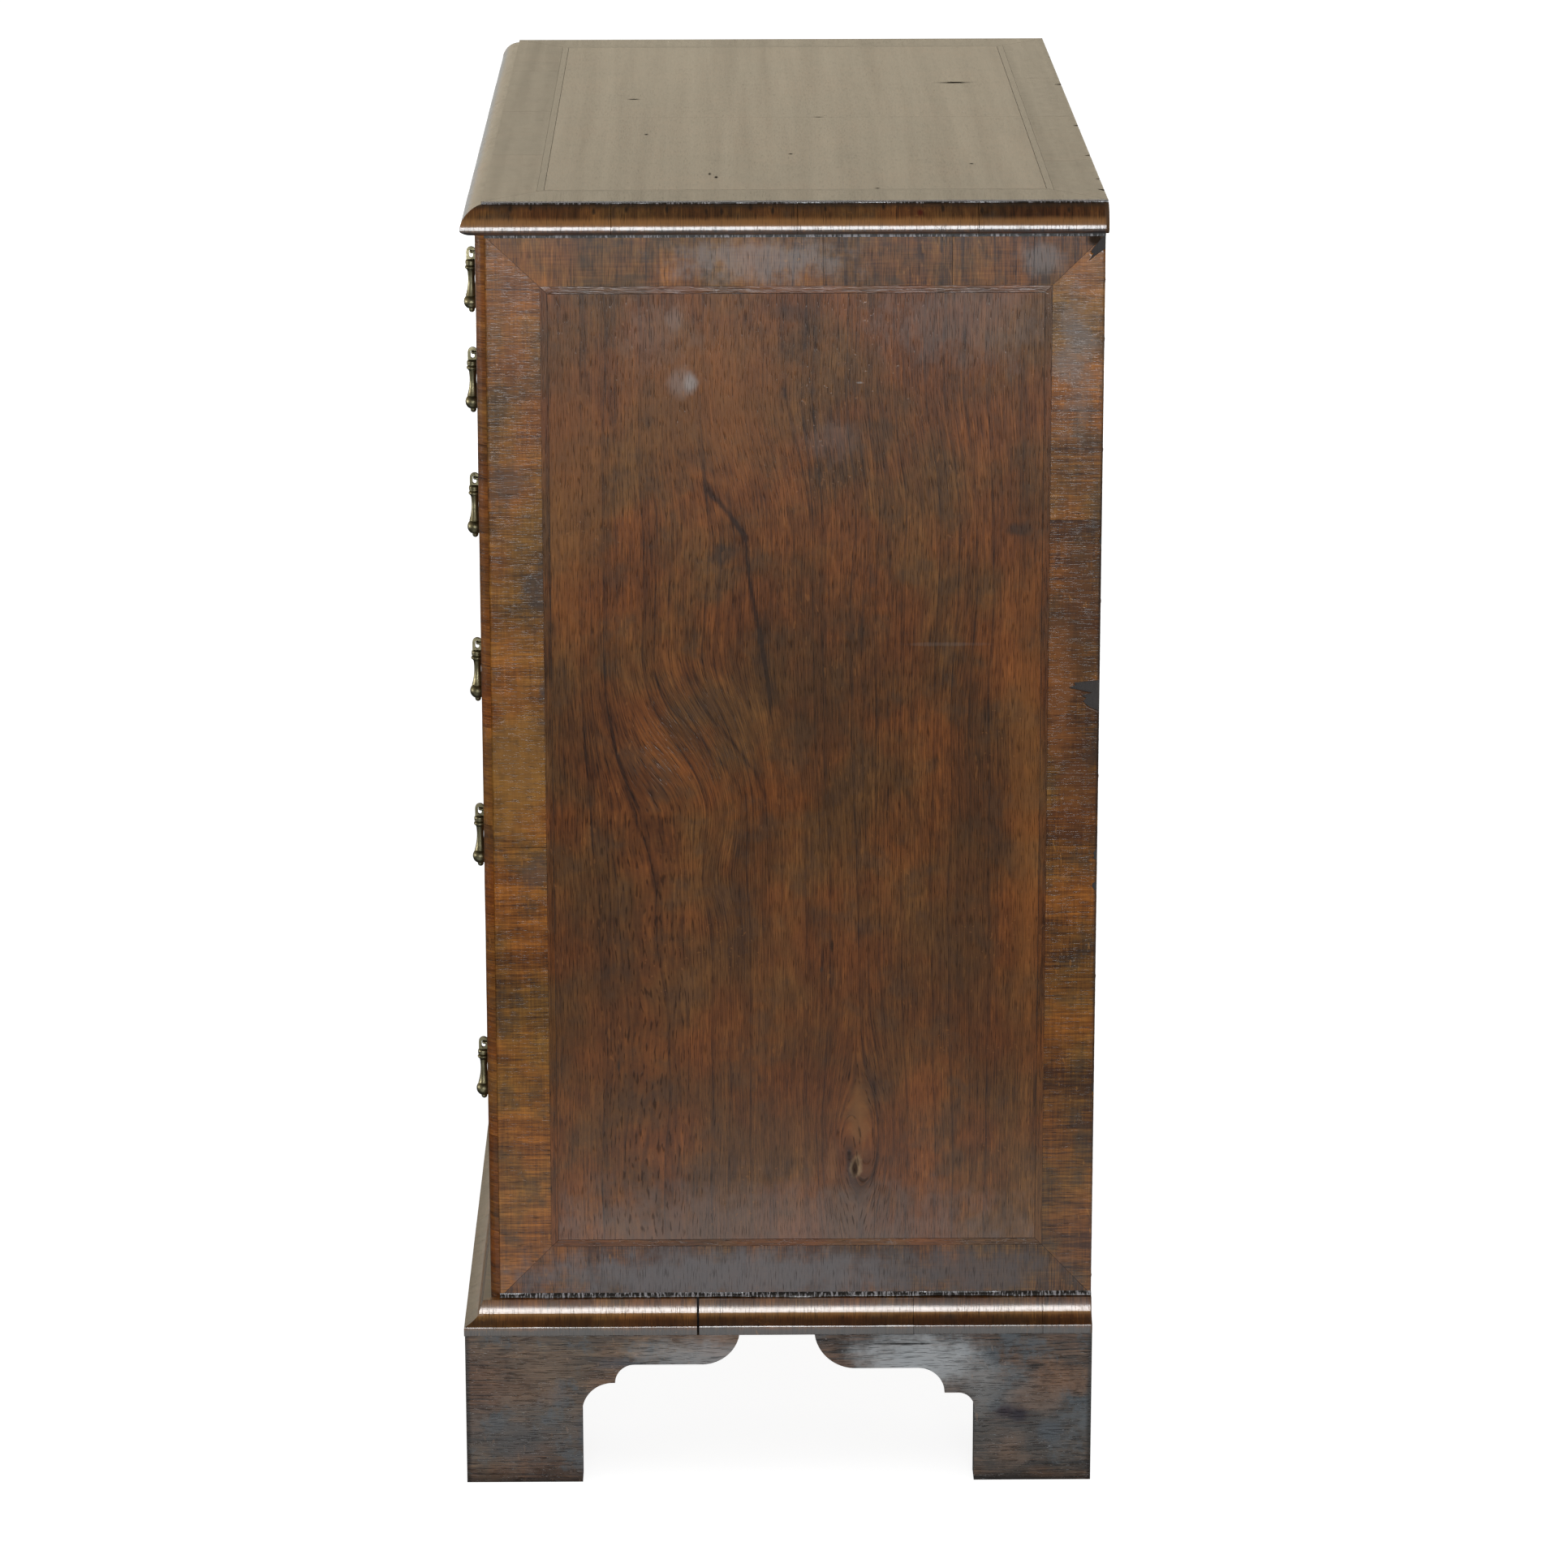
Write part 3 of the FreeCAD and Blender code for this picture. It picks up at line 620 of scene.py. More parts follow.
def board_part(solid, ease, seed, pare=None):
    """One board ready for make_piece, with its grain along its longest side. pare is an axis, a
    place and a move: corners at that place move, which makes room for veneer."""
    points, faces = solid
    if pare:
        axis, place, move = pare
        points = points.copy()
        points[np.abs(points[:, axis] - place) < 0.02 * MM, axis] += move
    longest_first = np.argsort(-np.ptp(points, axis=0))
    points, faces = eased(points, faces, ease)
    random = np.random.default_rng(seed)
    grain = points[:, longest_first] + random.uniform(-3, 3, size=3)
    return points, faces, grain, random.uniform(0.2, 0.8)


def remake(node, name, slot, finish, ease=0.4, pare=None, which=None):
    """Remakes some or all boards of a node in the same place, with arrises eased by millimetres."""
    solids = solids_of(node)
    chosen = range(len(solids)) if which is None else which
    seed = sum(map(ord, node))
    parts = [board_part(solids[i], ease * MM, seed * 7 + i, pare) for i in chosen]
    body = next(b for b, members in frame["record"]["behaviour"]["bodies"].items() if node in members)
    return make_piece(name, parts, body, slot, finish)


def renew(node, suffix, *settings, **more):
    """Remakes a node's boards under a longer name, in place of the node."""
    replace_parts(remake(node, node + suffix, *settings, **more), node)


print("boards in drawer_1_box:", len(solids_of("drawer_1_box")), "in foot_front_right:",
      len(solids_of("foot_front_right")))

# %% [markdown]
# ## Plain woods
#
# Inside, the chest is pine and oak: dry, unpolished, and darkened by air and dust. The same grain
# group serves, with wider rings for pine and strong pores for oak, a dull skin, and grey dust in the
# hollows of the grain. Where veneer has come off a core, its face is black with old glue and soot.

# %% Pine and oak finishes
veneer = 0.9 * MM


def plain_wood(name, dark, middle, light, ring, wave, pore, soot_from=None):
    """Unpolished wood: rings and pores in the colour, a dull skin, and rough-sawn height. Further
    out along X than soot_from, it is black."""
    finish, tree, place = start_finish(name)
    wood = put(tree, "Attribute", {}, "Vector", attribute_name="grain")
    leaf = put(tree, "Attribute", {}, "Fac", attribute_name="leaf")
    grain = use(grain_group, tree, Wood=wood, Ring=ring * MM, Wave=wave * MM)
    tone = (leaf - 0.5) * 0.75 - grain["Lines"] * 0.45
    for part, share in (("Rings", 0.5), ("Fibres", 0.7), ("Mottle", 0.5)):
        tone += (grain[part] - 0.5) * share
    colour = three_colours(tone + 0.5, dark, middle, light)
    colour = tint(grain["Pores"] * pore, colour, [channel * 0.4 for channel in dark])
    dirt = step(cloud(place, 11.0, 5.0, 0.65), 0.48, 0.72)
    colour = tint(dirt * 0.4, colour, (50, 38, 28))
    if soot_from:
        out = calc("ABSOLUTE", place.split()[0])
        colour = tint(step(out, soot_from - 1.5 * MM, soot_from), colour, (40, 35, 33))
    height = grain["Fibres"] - grain["Pores"] * 0.8
    bump = put(tree, "Bump", {"Height": height, "Strength": 1.0, "Distance": 0.12 * MM})
    end_finish(tree, {"Base Color": colour, "Roughness": dirt * 0.12 + 0.78, "Normal": bump,
                      "Specular IOR Level": 0.25})
    return finish


pine = plain_wood("old_pine", (110, 60, 28), (230, 135, 62), (330, 215, 110), 7, 10, 0.15)
core_pine = plain_wood("core_pine", (50, 30, 16), (105, 66, 36), (165, 110, 62), 5, 10, 0.2,
                       soot_from=face_x - veneer - 0.2 * MM)
oak = plain_wood("old_oak", (105, 62, 32), (200, 125, 66), (290, 195, 112), 3, 5, 0.6)
end_oak = plain_wood("oak_end_grain", (40, 23, 12), (85, 50, 26), (130, 80, 44), 3, 5, 0.7)
print("plain woods:", [wood.name for wood in (pine, core_pine, oak, end_oak)])

# %% [markdown]
# ## The carcass and the drawer linings
#
# Veneer is laid on a plain core, so the sides, the top board and the drawer fronts are remade a
# veneer's thickness thinner on their show face. Shelves, stops, back boards and drawer linings are
# kept at full size. The dovetails come with the boards, and their eased edges draw the joints.

# %% Remake the hidden boards
drawer_count = sum(name.endswith("_box") for name in frame["nodes"])
for side, sign in SIDES:
    renew(side + "_side", "_core", "pine", core_pine, pare=(0, sign * face_x, -sign * veneer))
renew("top_board", "_core", "pine", core_pine, pare=(2, top_z, -veneer))
renew("back_boards", "_rough", "pine", pine, 0.8)
renew("bottom_board", "_dusty", "pine", pine)
dividers = ["drawer_divider_%d" % n for n in range(1, drawer_count)]
for node in dividers:
    renew(node, "_shelf", "pine", pine, which=(0, 2, 3))
for node in ("top_rail", "bottom_rail"):
    renew(node, "_wood", "pine", pine, which=(0,))
for n in range(1, drawer_count + 1):
    drawer = "drawer_%d" % n
    renew(drawer + "_front", "_core", "oak", end_oak, 0.3, (1, front_y, veneer))
    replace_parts(remake(drawer + "_box", drawer + "_lining", "oak", oak, 0.3), drawer + "_box")
    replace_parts(remake(drawer + "_bottom", drawer + "_panel", "oak", oak, 0.3), drawer + "_bottom")
print("drawers lined:", drawer_count, "pieces made:", len(made))

# %% [markdown]
# ## Laying the veneer
#
# A veneered face has a border laid across the grain, mitred at its corners, then a narrow band, then
# the field. Every sheet is a grid between its outer and its inner edge. Glue lines are real gaps,
# a quarter of a millimetre wide, and the sheets lie a little uneven, which shows in the polish. RUB is
# how far a rubbed edge sinks, and SPLINTER is how finely a broken one is drawn.

# %% Veneer leaves and strips
GLUE_GAP, RUB, UNEVEN, SPLINTER = 0.25 * MM, 0.45 * MM, 0.03 * MM, 1.6 * MM
WHOLE = ((), (), (), ())


def steps(length, pitch):
    """How many rows of corners a length takes, one every pitch."""
    return max(3, int(length / pitch))


def plane(axis, level, sign):
    """A flat face square to one axis: a function from two distances along the other two axes, in
    their order, and a lift off the face, to points."""
    first, second = [i for i in range(3) if i != axis]

    def place(a, b, lift):
        points = np.zeros(np.broadcast(a, b, lift).shape + (3,))
        points[..., first], points[..., second], points[..., axis] = a, b, level + sign * lift
        return points

    return place


def leaf_part(place, corners, pitch, columns, grain_along, seed=0, tone=0.5, loss=None, rub=0.0):
    """One leaf of veneer between an outer edge (the first two corners) and an inner edge (the last
    two, in the same direction): each point is the outer edge blended into the inner one. loss says
    how much of the outer edge is broken away, by the distance along it. rub rounds the outer edge:
    within a millimetre of it, the leaf sinks by rub times (1 - d)^2."""
    (a0, b0), (a1, b1), (a2, b2), (a3, b3) = corners
    width = math.hypot(a2 - a0, b2 - b0)
    across = np.linspace(0, 1, columns)
    if rub:
        near = np.array([0, 0.25, 0.5, 1.0]) * MM / width
        across = np.concatenate([near, np.linspace(2 * MM / width, 1, columns)])
    rows = steps(math.dist((a0, b0), (a1, b1)), SPLINTER if loss else pitch)
    s, t = np.meshgrid(np.linspace(0, 1, rows), across, indexing="ij")
    rim_sink = rub * np.clip(1 - t * width / MM, 0, 1) ** 2
    outer_a, outer_b = a0 + (a1 - a0) * s, b0 + (b1 - b0) * s
    if loss:
        run = outer_a if abs(a1 - a0) > abs(b1 - b0) else outer_b
        t = t + (1 - t) * loss(run) / width
    a = outer_a * (1 - t) + (a2 + (a3 - a2) * s) * t
    b = outer_b * (1 - t) + (b2 + (b3 - b2) * s) * t
    lift = (unevenness(place(a, b, 0.0), 0.09, 5) - 1) * UNEVEN - rim_sink
    upper = place(a, b, lift)
    points, faces = sheet(upper, place(a, b, -veneer * 0.97) - upper)
    along, aside = (a, b) if grain_along == "a" else (b, a)
    grain = np.stack([along, aside, np.full_like(a, seed * 0.37)], -1).reshape(-1, 3)
    return points, faces, np.concatenate([grain, grain]), tone


def strips(low, high, widths, cuts):
    """The four mitred strips just inside a rectangle, cut into leaves. widths are left, right, foot
    and head, cuts are the places of the joints in each. Yields a strip's number and a leaf's corners."""
    left, right, foot, head = widths
    outer = np.array([low, (low[0], high[1]), (high[0], low[1]), high])
    inner = outer + ((left, foot), (left, -head), (-right, foot), (-right, -head))
    for number, ends in enumerate(([0, 1], [2, 3], [0, 2], [1, 3])):
        run = 1 if number < 2 else 0
        (p, q), (r, s) = outer[ends], inner[ends]
        shares = [0.0] + [(cut - p[run]) / (q[run] - p[run]) for cut in cuts[number]] + [1.0]
        half = GLUE_GAP / 2 / (q[run] - p[run])
        for start, end in zip(shares, shares[1:]):
            u, v = start + half, end - half
            leaf = np.array([p + (q - p) * u, p + (q - p) * v, r + (s - r) * u, r + (s - r) * v])
            if start > 0:
                leaf[2, run] = leaf[0, run]
            if end < 1:
                leaf[3, run] = leaf[1, run]
            yield number, leaf


def veneered(name, body, place, low, high, border, band, finishes, cuts=WHOLE, tones=(), joints=(),
             field_grain="b", losses=(None,) * 4, rubbed=(0, 1, 2, 3), pitch=6 * MM, seed=1):
    """Border, band and field of one face, which finishes names in that order. border is the widths of
    its four strips, cuts are their joints, and tones the lightness of their leaves. joints are where
    the field is pieced, losses the broken outer edges, and rubbed the numbers of the worn ones."""
    random = np.random.default_rng(seed)
    leaves = {"border": [], "band": [], "field": []}
    for count, (number, corners) in enumerate(strips(low, high, border, cuts)):
        tone = tones[count] if tones else random.uniform(0.25, 0.75)
        leaves["border"].append(leaf_part(place, corners, pitch, 7, "aabb"[number], seed + count, tone,
                                          losses[number], RUB * (number in rubbed)))
    left, right, foot, head = border
    low, high = np.array(low) + (left, foot) + GLUE_GAP / 2, np.array(high) - (right, head) - GLUE_GAP / 2
    for number, corners in strips(low, high, (band,) * 4, WHOLE):
        leaves["band"].append(leaf_part(place, corners, pitch, 3, "bbaa"[number], seed + number))
    low, high = low + (band + GLUE_GAP), high - (band + GLUE_GAP)
    edges = [low[0], *joints, high[0]]
    for number, (start, end) in enumerate(zip(edges, edges[1:])):
        start, end = start + GLUE_GAP * 0.3 * (number > 0), end - GLUE_GAP * 0.3 * (number < len(joints))
        corners = ((start, low[1]), (start, high[1]), (end, low[1]), (end, high[1]))
        leaves["field"].append(leaf_part(place, corners, pitch, steps(end - start, pitch), field_grain))
    for (part, parts), finish in zip(leaves.items(), finishes):
        make_piece(name + "_" + part, parts, body, "walnut_veneer", finish, smooth=40)


print("leaves in a plain border:", len(list(strips((0, 0), (1, 1), (0.1,) * 4, WHOLE))))

# %% [markdown]
# ## The two sides
#
# The border is 32 mm wide, and it is pieced: the joints between its leaves were measured, and so were
# the splinters lost along the back edge, where a loss is how far the break runs in from the edge.

# %% Veneer the sides
def broken(places):
    """How much of an edge is lost at each distance along it: a blunt, splintered notch for every
    break (its middle, half length and depth), and a fine nibble everywhere."""
    def loss(run):
        nibble = np.abs(np.sin(run * 900) * np.sin(run * 377 + 1)) * 0.25 * MM
        splinters = 0.75 + 0.25 * np.sin(run * 2600) * np.sin(run * 1130)
        lost = [depth * splinters * np.clip(2.5 * (1 - np.abs(run - middle) / half), 0, 1)
                for middle, half, depth in places]
        return np.maximum(nibble, np.max(lost, axis=0))
    return loss


side_breaks = broken([(0.5055, 0.0036, 0.0190), (0.4965, 0.0060, 0.0120), (0.4000, 0.0035, 0.0050),
                      (0.3800, 0.0030, 0.0045), (0.7765, 0.0045, 0.0100), (0.5950, 0.0020, 0.0025),
                      (0.2500, 0.0020, 0.0025)])
for (side, sign), field in zip(SIDES, (side_field, left_field)):
    veneered(side + "_side", "case", plane(0, sign * face_x, sign), (front_y, base_top), (back_y, under_top),
             (32.2 * MM, 31.0 * MM, 33.0 * MM, 30.5 * MM), 4.2 * MM, (side_border, band_finish, field),
             cuts=((0.406,), (0.406, 0.608), (), (0.027, 0.103, 0.151)),
             tones=(0.52, 0.52, 0.34, 0.26, 0.50, 0.18, 0.42, 0.33, 0.36, 0.24), joints=(0.05885,),
             losses=(None, side_breaks, None, None), rubbed=(0, 1), seed=3)
print("sides veneered:", made[-6:])

# %% [markdown]
# ## The top
#
# The top repeats the scheme, with the field running from side to side. The polish here is the best on
# the chest, and the board catches the room's light at a low angle. Scores and dents have filled with
# black wax, and small nicks run along the back edge.

# %% Veneer the top
SCORE = (4, 3, 2)
scores = ((5, -166, 4, 9), (-142, 183, 2.5, 12), (15, 186, 4, 10), (180, 184, 4, 9), (-130, 124, 7, 15),
          (305, -135, 5, 3), (260, -158, 14, 0.8), (290, -150, 10, 0.8), (246, -40, 7, 1.6),
          (258, -36, 7, 1.6), (20, 30, 3, 5), (170, 10, 3, 2), (-60, -90, 3, 6), (90, -80, 4, 2),
          (300, 60, 3, 2.5), (210, 120, 3, 2))
top_stains = [((x * MM, y * MM, top_z), (wide * MM, deep * MM, 1), SCORE, 0.95, 0.5)
              for x, y, wide, deep in scores]
polished = {"gloss": 0.25, "rough": 0.32, "coat": 0.8, "coat_rough": 0.12, "pore_depth": 0.02}
top_field = walnut("top_field", (30, 15, 9), (74, 38, 21), (124, 68, 36), 6, 8, 0.3,
                   stains=top_stains, soot=0.1, gloss=0.25, rough=0.30, coat=0.8, coat_rough=0.10,
                   pore_depth=0.015, haze=0.7)
top_border = walnut("top_border", (18, 10, 6), (42, 25, 13), (75, 46, 25), 6, 5, 0.3,
                    soot=0.15, haze=0.9, **polished)
top_band = walnut("top_band", (16, 9, 5), (36, 21, 11), (60, 36, 20), 3, 1, 0.2,
                  soot=0.1, **polished)
back_nicks = broken([(x, 0.0016, depth) for x, depth in ((0.31, 0.004), (0.27, 0.003), (0.18, 0.005),
                                                         (0.06, 0.004), (-0.12, 0.005), (-0.25, 0.003))])
veneered("top", "case", plane(2, top_z, 1), board_low[:2], board_high[:2],
         (36 * MM, 36 * MM, 31.5 * MM, 30 * MM), 4.0 * MM, (top_border, top_band, top_field),
         cuts=((), (), (-0.19, -0.008, 0.17), (-0.15, 0.02, 0.2)), joints=(0.02,), field_grain="a",
         losses=(None, None, None, back_nicks), rubbed=(3,), pitch=8 * MM, seed=11)
print("top veneered:", made[-3:], "with", len(top_stains), "scores and dents")

# %% [markdown]
# ## The drawer fronts
#
# Each front gets the same border and band, and two leaves of figured walnut opened like a book about
# the middle, with the grain upright, so that the figure runs down from drawer to drawer.

# %% Veneer the drawer fronts
front_field = walnut("front_field", (40, 16, 6), (140, 58, 17), (260, 118, 34), 7, 16, 0.5,
                     [((0.62, 0.15), (0.12, 0.06), 0.03), ((0.42, 0.11), (0.14, 0.06), -0.035),
                      ((0.22, 0.16), (0.10, 0.08), 0.03)])
front_border = walnut("front_border", *BORDER_WOOD, 7, 5, 0.3, soot=0.4)
for n in range(1, drawer_count + 1):
    drawer = "drawer_%d" % n
    low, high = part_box(drawer + "_front")
    veneered(drawer, drawer, plane(1, front_y, -1), (low.x, low.z), (high.x, high.z), (11 * MM,) * 4,
             3.6 * MM, (front_border, band_finish, front_field),
             cuts=((), (), (-0.15, 0.16), (-0.17, 0.14)), joints=(0.0,), seed=20 + n)
print("drawer fronts veneered:", drawer_count)

# %% [markdown]
# ## Mouldings laid across the grain
#
# The mouldings are pine strips faced with short lengths of walnut whose grain runs up and over the
# curve, which is why they show joints and dark flecks. A length is a profile carried from a start to
# an end. Both may depend on how far a point stands out, and that one rule gives mitred corners,
# coped ends and square joints alike.

# %% Profiles and lengths
JOINT, LIE = 0.3, 0.12


def arc(start, middle, end, count):
    """Points on the circle through three points. Its centre c is equally far from all of them, so
    2 (p - start) . c = p . p - start . start for the other two."""
    p = np.array([start, middle, end])
    centre = np.linalg.solve(2 * (p[1:] - p[0]), (p[1:] ** 2).sum(axis=1) - (p[0] ** 2).sum())
    angles = np.unwrap(np.arctan2(p[:, 1] - centre[1], p[:, 0] - centre[0]))
    turn = np.linspace(angles[0], angles[2], count)
    radius = math.dist(start, centre)
    return (centre + radius * np.stack([np.cos(turn), np.sin(turn)], -1)).tolist()


def lean(start, end, corner, share):
    """The middle of an arc that leans from its chord towards a corner by a share."""
    return tuple((a + b) / 2 * (1 - share) + c * share for a, b, c in zip(start, end, corner))


def softened(outline, corner, reach):
    """An outline with the bend near a corner worn round: the points within reach of it give way to a
    quadratic curve between their neighbours, b(t) = (1-t)^2 a + 2t(1-t) corner + t^2 c."""
    near = [i for i, p in enumerate(outline) if math.dist(p, corner) < reach]

    def towards(p):
        share = min(1.0, reach / math.dist(p, corner))
        return [k + (e - k) * share for k, e in zip(corner, p)]

    a, c = towards(outline[near[0] - 1]), towards(outline[near[-1] + 1])
    curve = [tuple((1 - t) ** 2 * p + 2 * t * (1 - t) * k + t * t * q for p, k, q in zip(a, corner, c))
             for t in np.linspace(0, 1, 8).tolist()]
    return outline[:near[0]] + curve + outline[near[-1] + 1:]


def moulding(name, profile, at, begin, finish_at, cuts, finish, seed, wide_gaps=(), pitch=4, wear=0.10):
    """Lengths of one moulding. profile is (out, up) in metres, closed by its hidden back. at turns
    out, up and the distance along the run into points. The joints at cuts are open by JOINT or by
    what wide_gaps says, in millimetres. The wear sinks the surface along its own normal, by up to
    that many millimetres, and a whole length by up to LIE more."""
    out, up = np.array(profile).T
    normal = (np.roll(profile, -1, axis=0) - np.roll(profile, 1, axis=0))[:, ::-1] * (1, -1)
    normal /= np.maximum(np.linalg.norm(normal, axis=1, keepdims=True), 1e-9)
    girth = np.concatenate([[0], np.cumsum(np.hypot(np.diff(out), np.diff(up)))])
    shown = out > out.min() + 0.5 * MM
    halves = [dict(wide_gaps).get(cut, JOINT) * MM / 2 for cut in cuts]
    firsts = [begin(out, up), *[np.full_like(out, cut + half) for cut, half in zip(cuts, halves)]]
    lasts = [*[np.full_like(out, cut - half) for cut, half in zip(cuts, halves)], finish_at(out, up)]
    parts = []
    for number, (first, last) in enumerate(zip(firsts, lasts)):
        stations = steps(abs(last.mean() - first.mean()), pitch * MM)
        share = np.linspace(0, 1, stations)[:, None]
        run = first * (1 - share) + last * share
        rough = at(out + run * 0, up + run * 0, run)
        random = np.random.default_rng(seed * 31 + number)
        sink = (unevenness(rough, 0.035, seed + 3) * 0.5 + 0.5) * wear * MM + random.uniform(0, LIE) * MM
        sink = sink * shown
        points = at(out - sink * normal[:, 0], up - sink * normal[:, 1], run)
        grain = np.stack([girth + run * 0, run + number * 0.731, run * 0 + number * 0.37], -1).reshape(-1, 3)
        parts.append((*loft(points), grain, random.uniform(0.3, 0.7)))
    return make_piece(name, parts, "case", "crossgrain_walnut", finish, smooth=38)


def relay(node, *settings, **more):
    """Lays a moulding's lengths in place of a node."""
    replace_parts(moulding(node + "_lengths", *settings, **more), node)


print("a half round of 9 points is", round(arc((0, -1), (1, 0), (0, 1), 9)[4][0], 6), "deep")

# %% [markdown]
# The top moulding is an ovolo: a small step under the board, a full round, and a tighter round below
# that ends level. The base moulding is a fillet, a slight swelling, a cove that sweeps out, and a
# fascia. A few points draw each, as in the joiner's model, but here they follow the worn shape, which
# is up to 1.4 mm off the model's: polishing rags have rubbed the crest of the one and the lip of the
# other round, and those soft bends are what catches light.

# %% The two profiles
rim_width, rim_tall = rim_high.x - board_high.x, rim_high.z - under_top
nose, crown = (rim_width, 3.3 * MM), (0.8 * MM, rim_tall)
brow, flat_end = (rim_width - 0.18 * MM, 6.6 * MM), (3.5 * MM, 0.0)
run, rise = nose[0] - flat_end[0], nose[1] - flat_end[1]
radius = (run * run + rise * rise) / (2 * rise)
half = math.atan2(run, radius - rise) / 2
level_start = (flat_end[0] + radius * math.sin(half), radius * (1 - math.cos(half)))
top_profile = ([(0.0, 0.0)] + arc(flat_end, level_start, nose, 9)
               + arc(nose, (rim_width - 0.04 * MM, 4.95 * MM), brow, 8)[1:-1]
               + arc(brow, lean(brow, crown, (rim_width, rim_tall), 0.28), crown, 14) + [(0.0, rim_tall)])
top_profile = softened(top_profile, nose, 0.8 * MM)
base_out, base_tall = base_high.x - face_x, base_top - base_foot
fillet_out, lip, lip_low = 4.5 * MM, (base_out - 0.22 * MM, 6.0 * MM), (base_out, 5.1 * MM)
swell_start, swell_end = (4.6 * MM, base_tall - 0.5 * MM), (5.93 * MM, 15.9 * MM)
cove_top = (7.15 * MM, 11.2 * MM)
worn_lip = arc(lip_low, (base_out - 0.085 * MM, 5.56 * MM), lip, 5)
belly = arc(cove_top, (6.635 * MM, 13.55 * MM), swell_end, 9)
cove = arc(lip, lean(lip, cove_top, (cove_top[0], lip[1]), 0.16), cove_top, 10)
swell = arc(swell_end, lean(swell_end, swell_start, (swell_end[0], swell_start[1]), 0.03), swell_start, 6)


def base_profile(inner):
    """The base moulding's outline, with its hidden back at inner."""
    outline = ([(inner, 0.0), (base_out, 0.0)] + worn_lip + cove[1:] + belly[1:] + swell[1:]
               + [(fillet_out, swell_start[1]), (fillet_out, base_tall), (inner, base_tall)])
    return softened(outline, (base_out, 0.0), 0.5 * MM)


print("top profile:", len(top_profile), "points; base profile:", len(base_profile(0.0)), "points")

# %% [markdown]
# Varnish lies thick on the mouldings, so they are the glossiest wood on the chest: a deep brown. Bands
# painted along them by height stand in for light and shade: a painted orange glow beside the highlight
# on the top moulding's round and below the highlight on the base moulding's swell, painted shade across
# the top of the top moulding, under its round and in the cove, and a darker band along the fascia. The
# square ends at the back are bare and dull, and black flecks dot the crest.

# %% Crossgrain finish
flecks = on_side(face_x, [(y, 795 + (y * 7) % 3, 1.5, 2.4, BLOT, 0.9, 0.6)
                          for y in (-157, -145, -108, -89, -65, -42, -33, -16, -3, 28, 62, 97, 120, 171)])
# Painted light and shade, by height in millimetres: a painted glow by the top moulding's highlight, painted
# shade at its top and under its round, a painted glow under the base moulding's highlight, painted shade in
# its cove, and a darker band on the fascia.
painted_light_and_shade_bands = [((0, 0, height * MM), (5, 5, reach * MM), colour, strength, ragged)
               for height, reach, colour, strength, ragged in (
                   (788.5, 4.2, (300, 135, 40), 0.60, 0.25), (799.0, 3.5, (26, 14, 7), 0.74, 0.30),
                   (781.5, 3.6, (18, 18, 22), 0.88, 0.25), (109.2, 3.4, (380, 190, 60), 0.55, 0.25),
                   (104.0, 2.2, (34, 13, 5), 0.65, 0.30), (98.4, 4.8, (26, 21, 19), 0.85, 0.30))]
bare_ends = ((0, 0.1940, 0.4500), (5, 0.0026, 5), (80, 48, 30), 0.90, 0.0)
red_drip = on_side(face_x, [(83.7, 794, 2.6, 2.4, (60, 14, 10), 0.90, 0.5)])
crossgrain = walnut("crossgrain", (24, 8.5, 2.5), (88, 34, 7.5), (205, 88, 19), 9, 3, 0.4,
                    stains=[*painted_light_and_shade_bands, bare_ends, *red_drip, *flecks], soot=0.35, gloss=0.4, rough=0.34,
                    coat=1.0, coat_rough=0.16, pore_depth=0.035)
bead_walnut = walnut("bead_walnut", (30, 10, 2.5), (120, 42, 8), (240, 95, 18), 9, 3, 0.3, coat=0.35,
                     coat_rough=0.18, pore_depth=0.05)
print("finishes:", crossgrain.name, bead_walnut.name, "with", len(flecks), "flecks")

# %% [markdown]
# Three lengths make each moulding: the front one between two mitres, and a side one each way, from
# its mitre to a square end at the back.

# %% Lay both mouldings
def beside(inner, foot, sign):
    """Puts a profile on a side face: out is sideways, and the run goes from front to back."""
    return lambda out, up, run: np.stack([sign * (inner + out), run, foot + up], -1)


def across_front(heel, foot):
    """Puts a profile across the front: out is forwards, and the run goes from left to right."""
    return lambda out, up, run: np.stack([run, heel - out, foot + up], -1)


def cut_at(level, slope=0):
    """A start or an end: square, or with a slope, changing with how far out a point is."""
    return lambda out, up: level + slope * out


rim_inner, rim_heel = board_high.x, board_low.y
top_cuts, base_cuts = (-0.098, 0.0117, 0.118), (-0.05025, 0.08295, 0.16275)
for side, sign in SIDES:
    relay("top_moulding_" + side, top_profile, beside(rim_inner, under_top, sign), cut_at(rim_heel, -1),
          cut_at(rim_high.y), top_cuts, crossgrain, 5 + sign)
    relay("base_moulding_" + side, base_profile(0.0), beside(face_x, base_foot, sign),
          cut_at(bead_low.y, -1), cut_at(back_y), base_cuts, crossgrain, 9 + sign,
          wide_gaps=[(base_cuts[0], 1.4)])
relay("top_moulding_front", top_profile, across_front(rim_heel, under_top), cut_at(-rim_inner, -1),
      cut_at(rim_inner, 1), (-0.21, -0.07, 0.09, 0.24), crossgrain, 15)
relay("base_moulding_front", base_profile(-bead_out), across_front(bead_low.y, base_foot),
      lambda out, up: -face_x - np.maximum(out, 0), lambda out, up: face_x + np.maximum(out, 0),
      (-0.19, -0.02, 0.17), crossgrain, 19)
print("mouldings laid:", made[-6:])
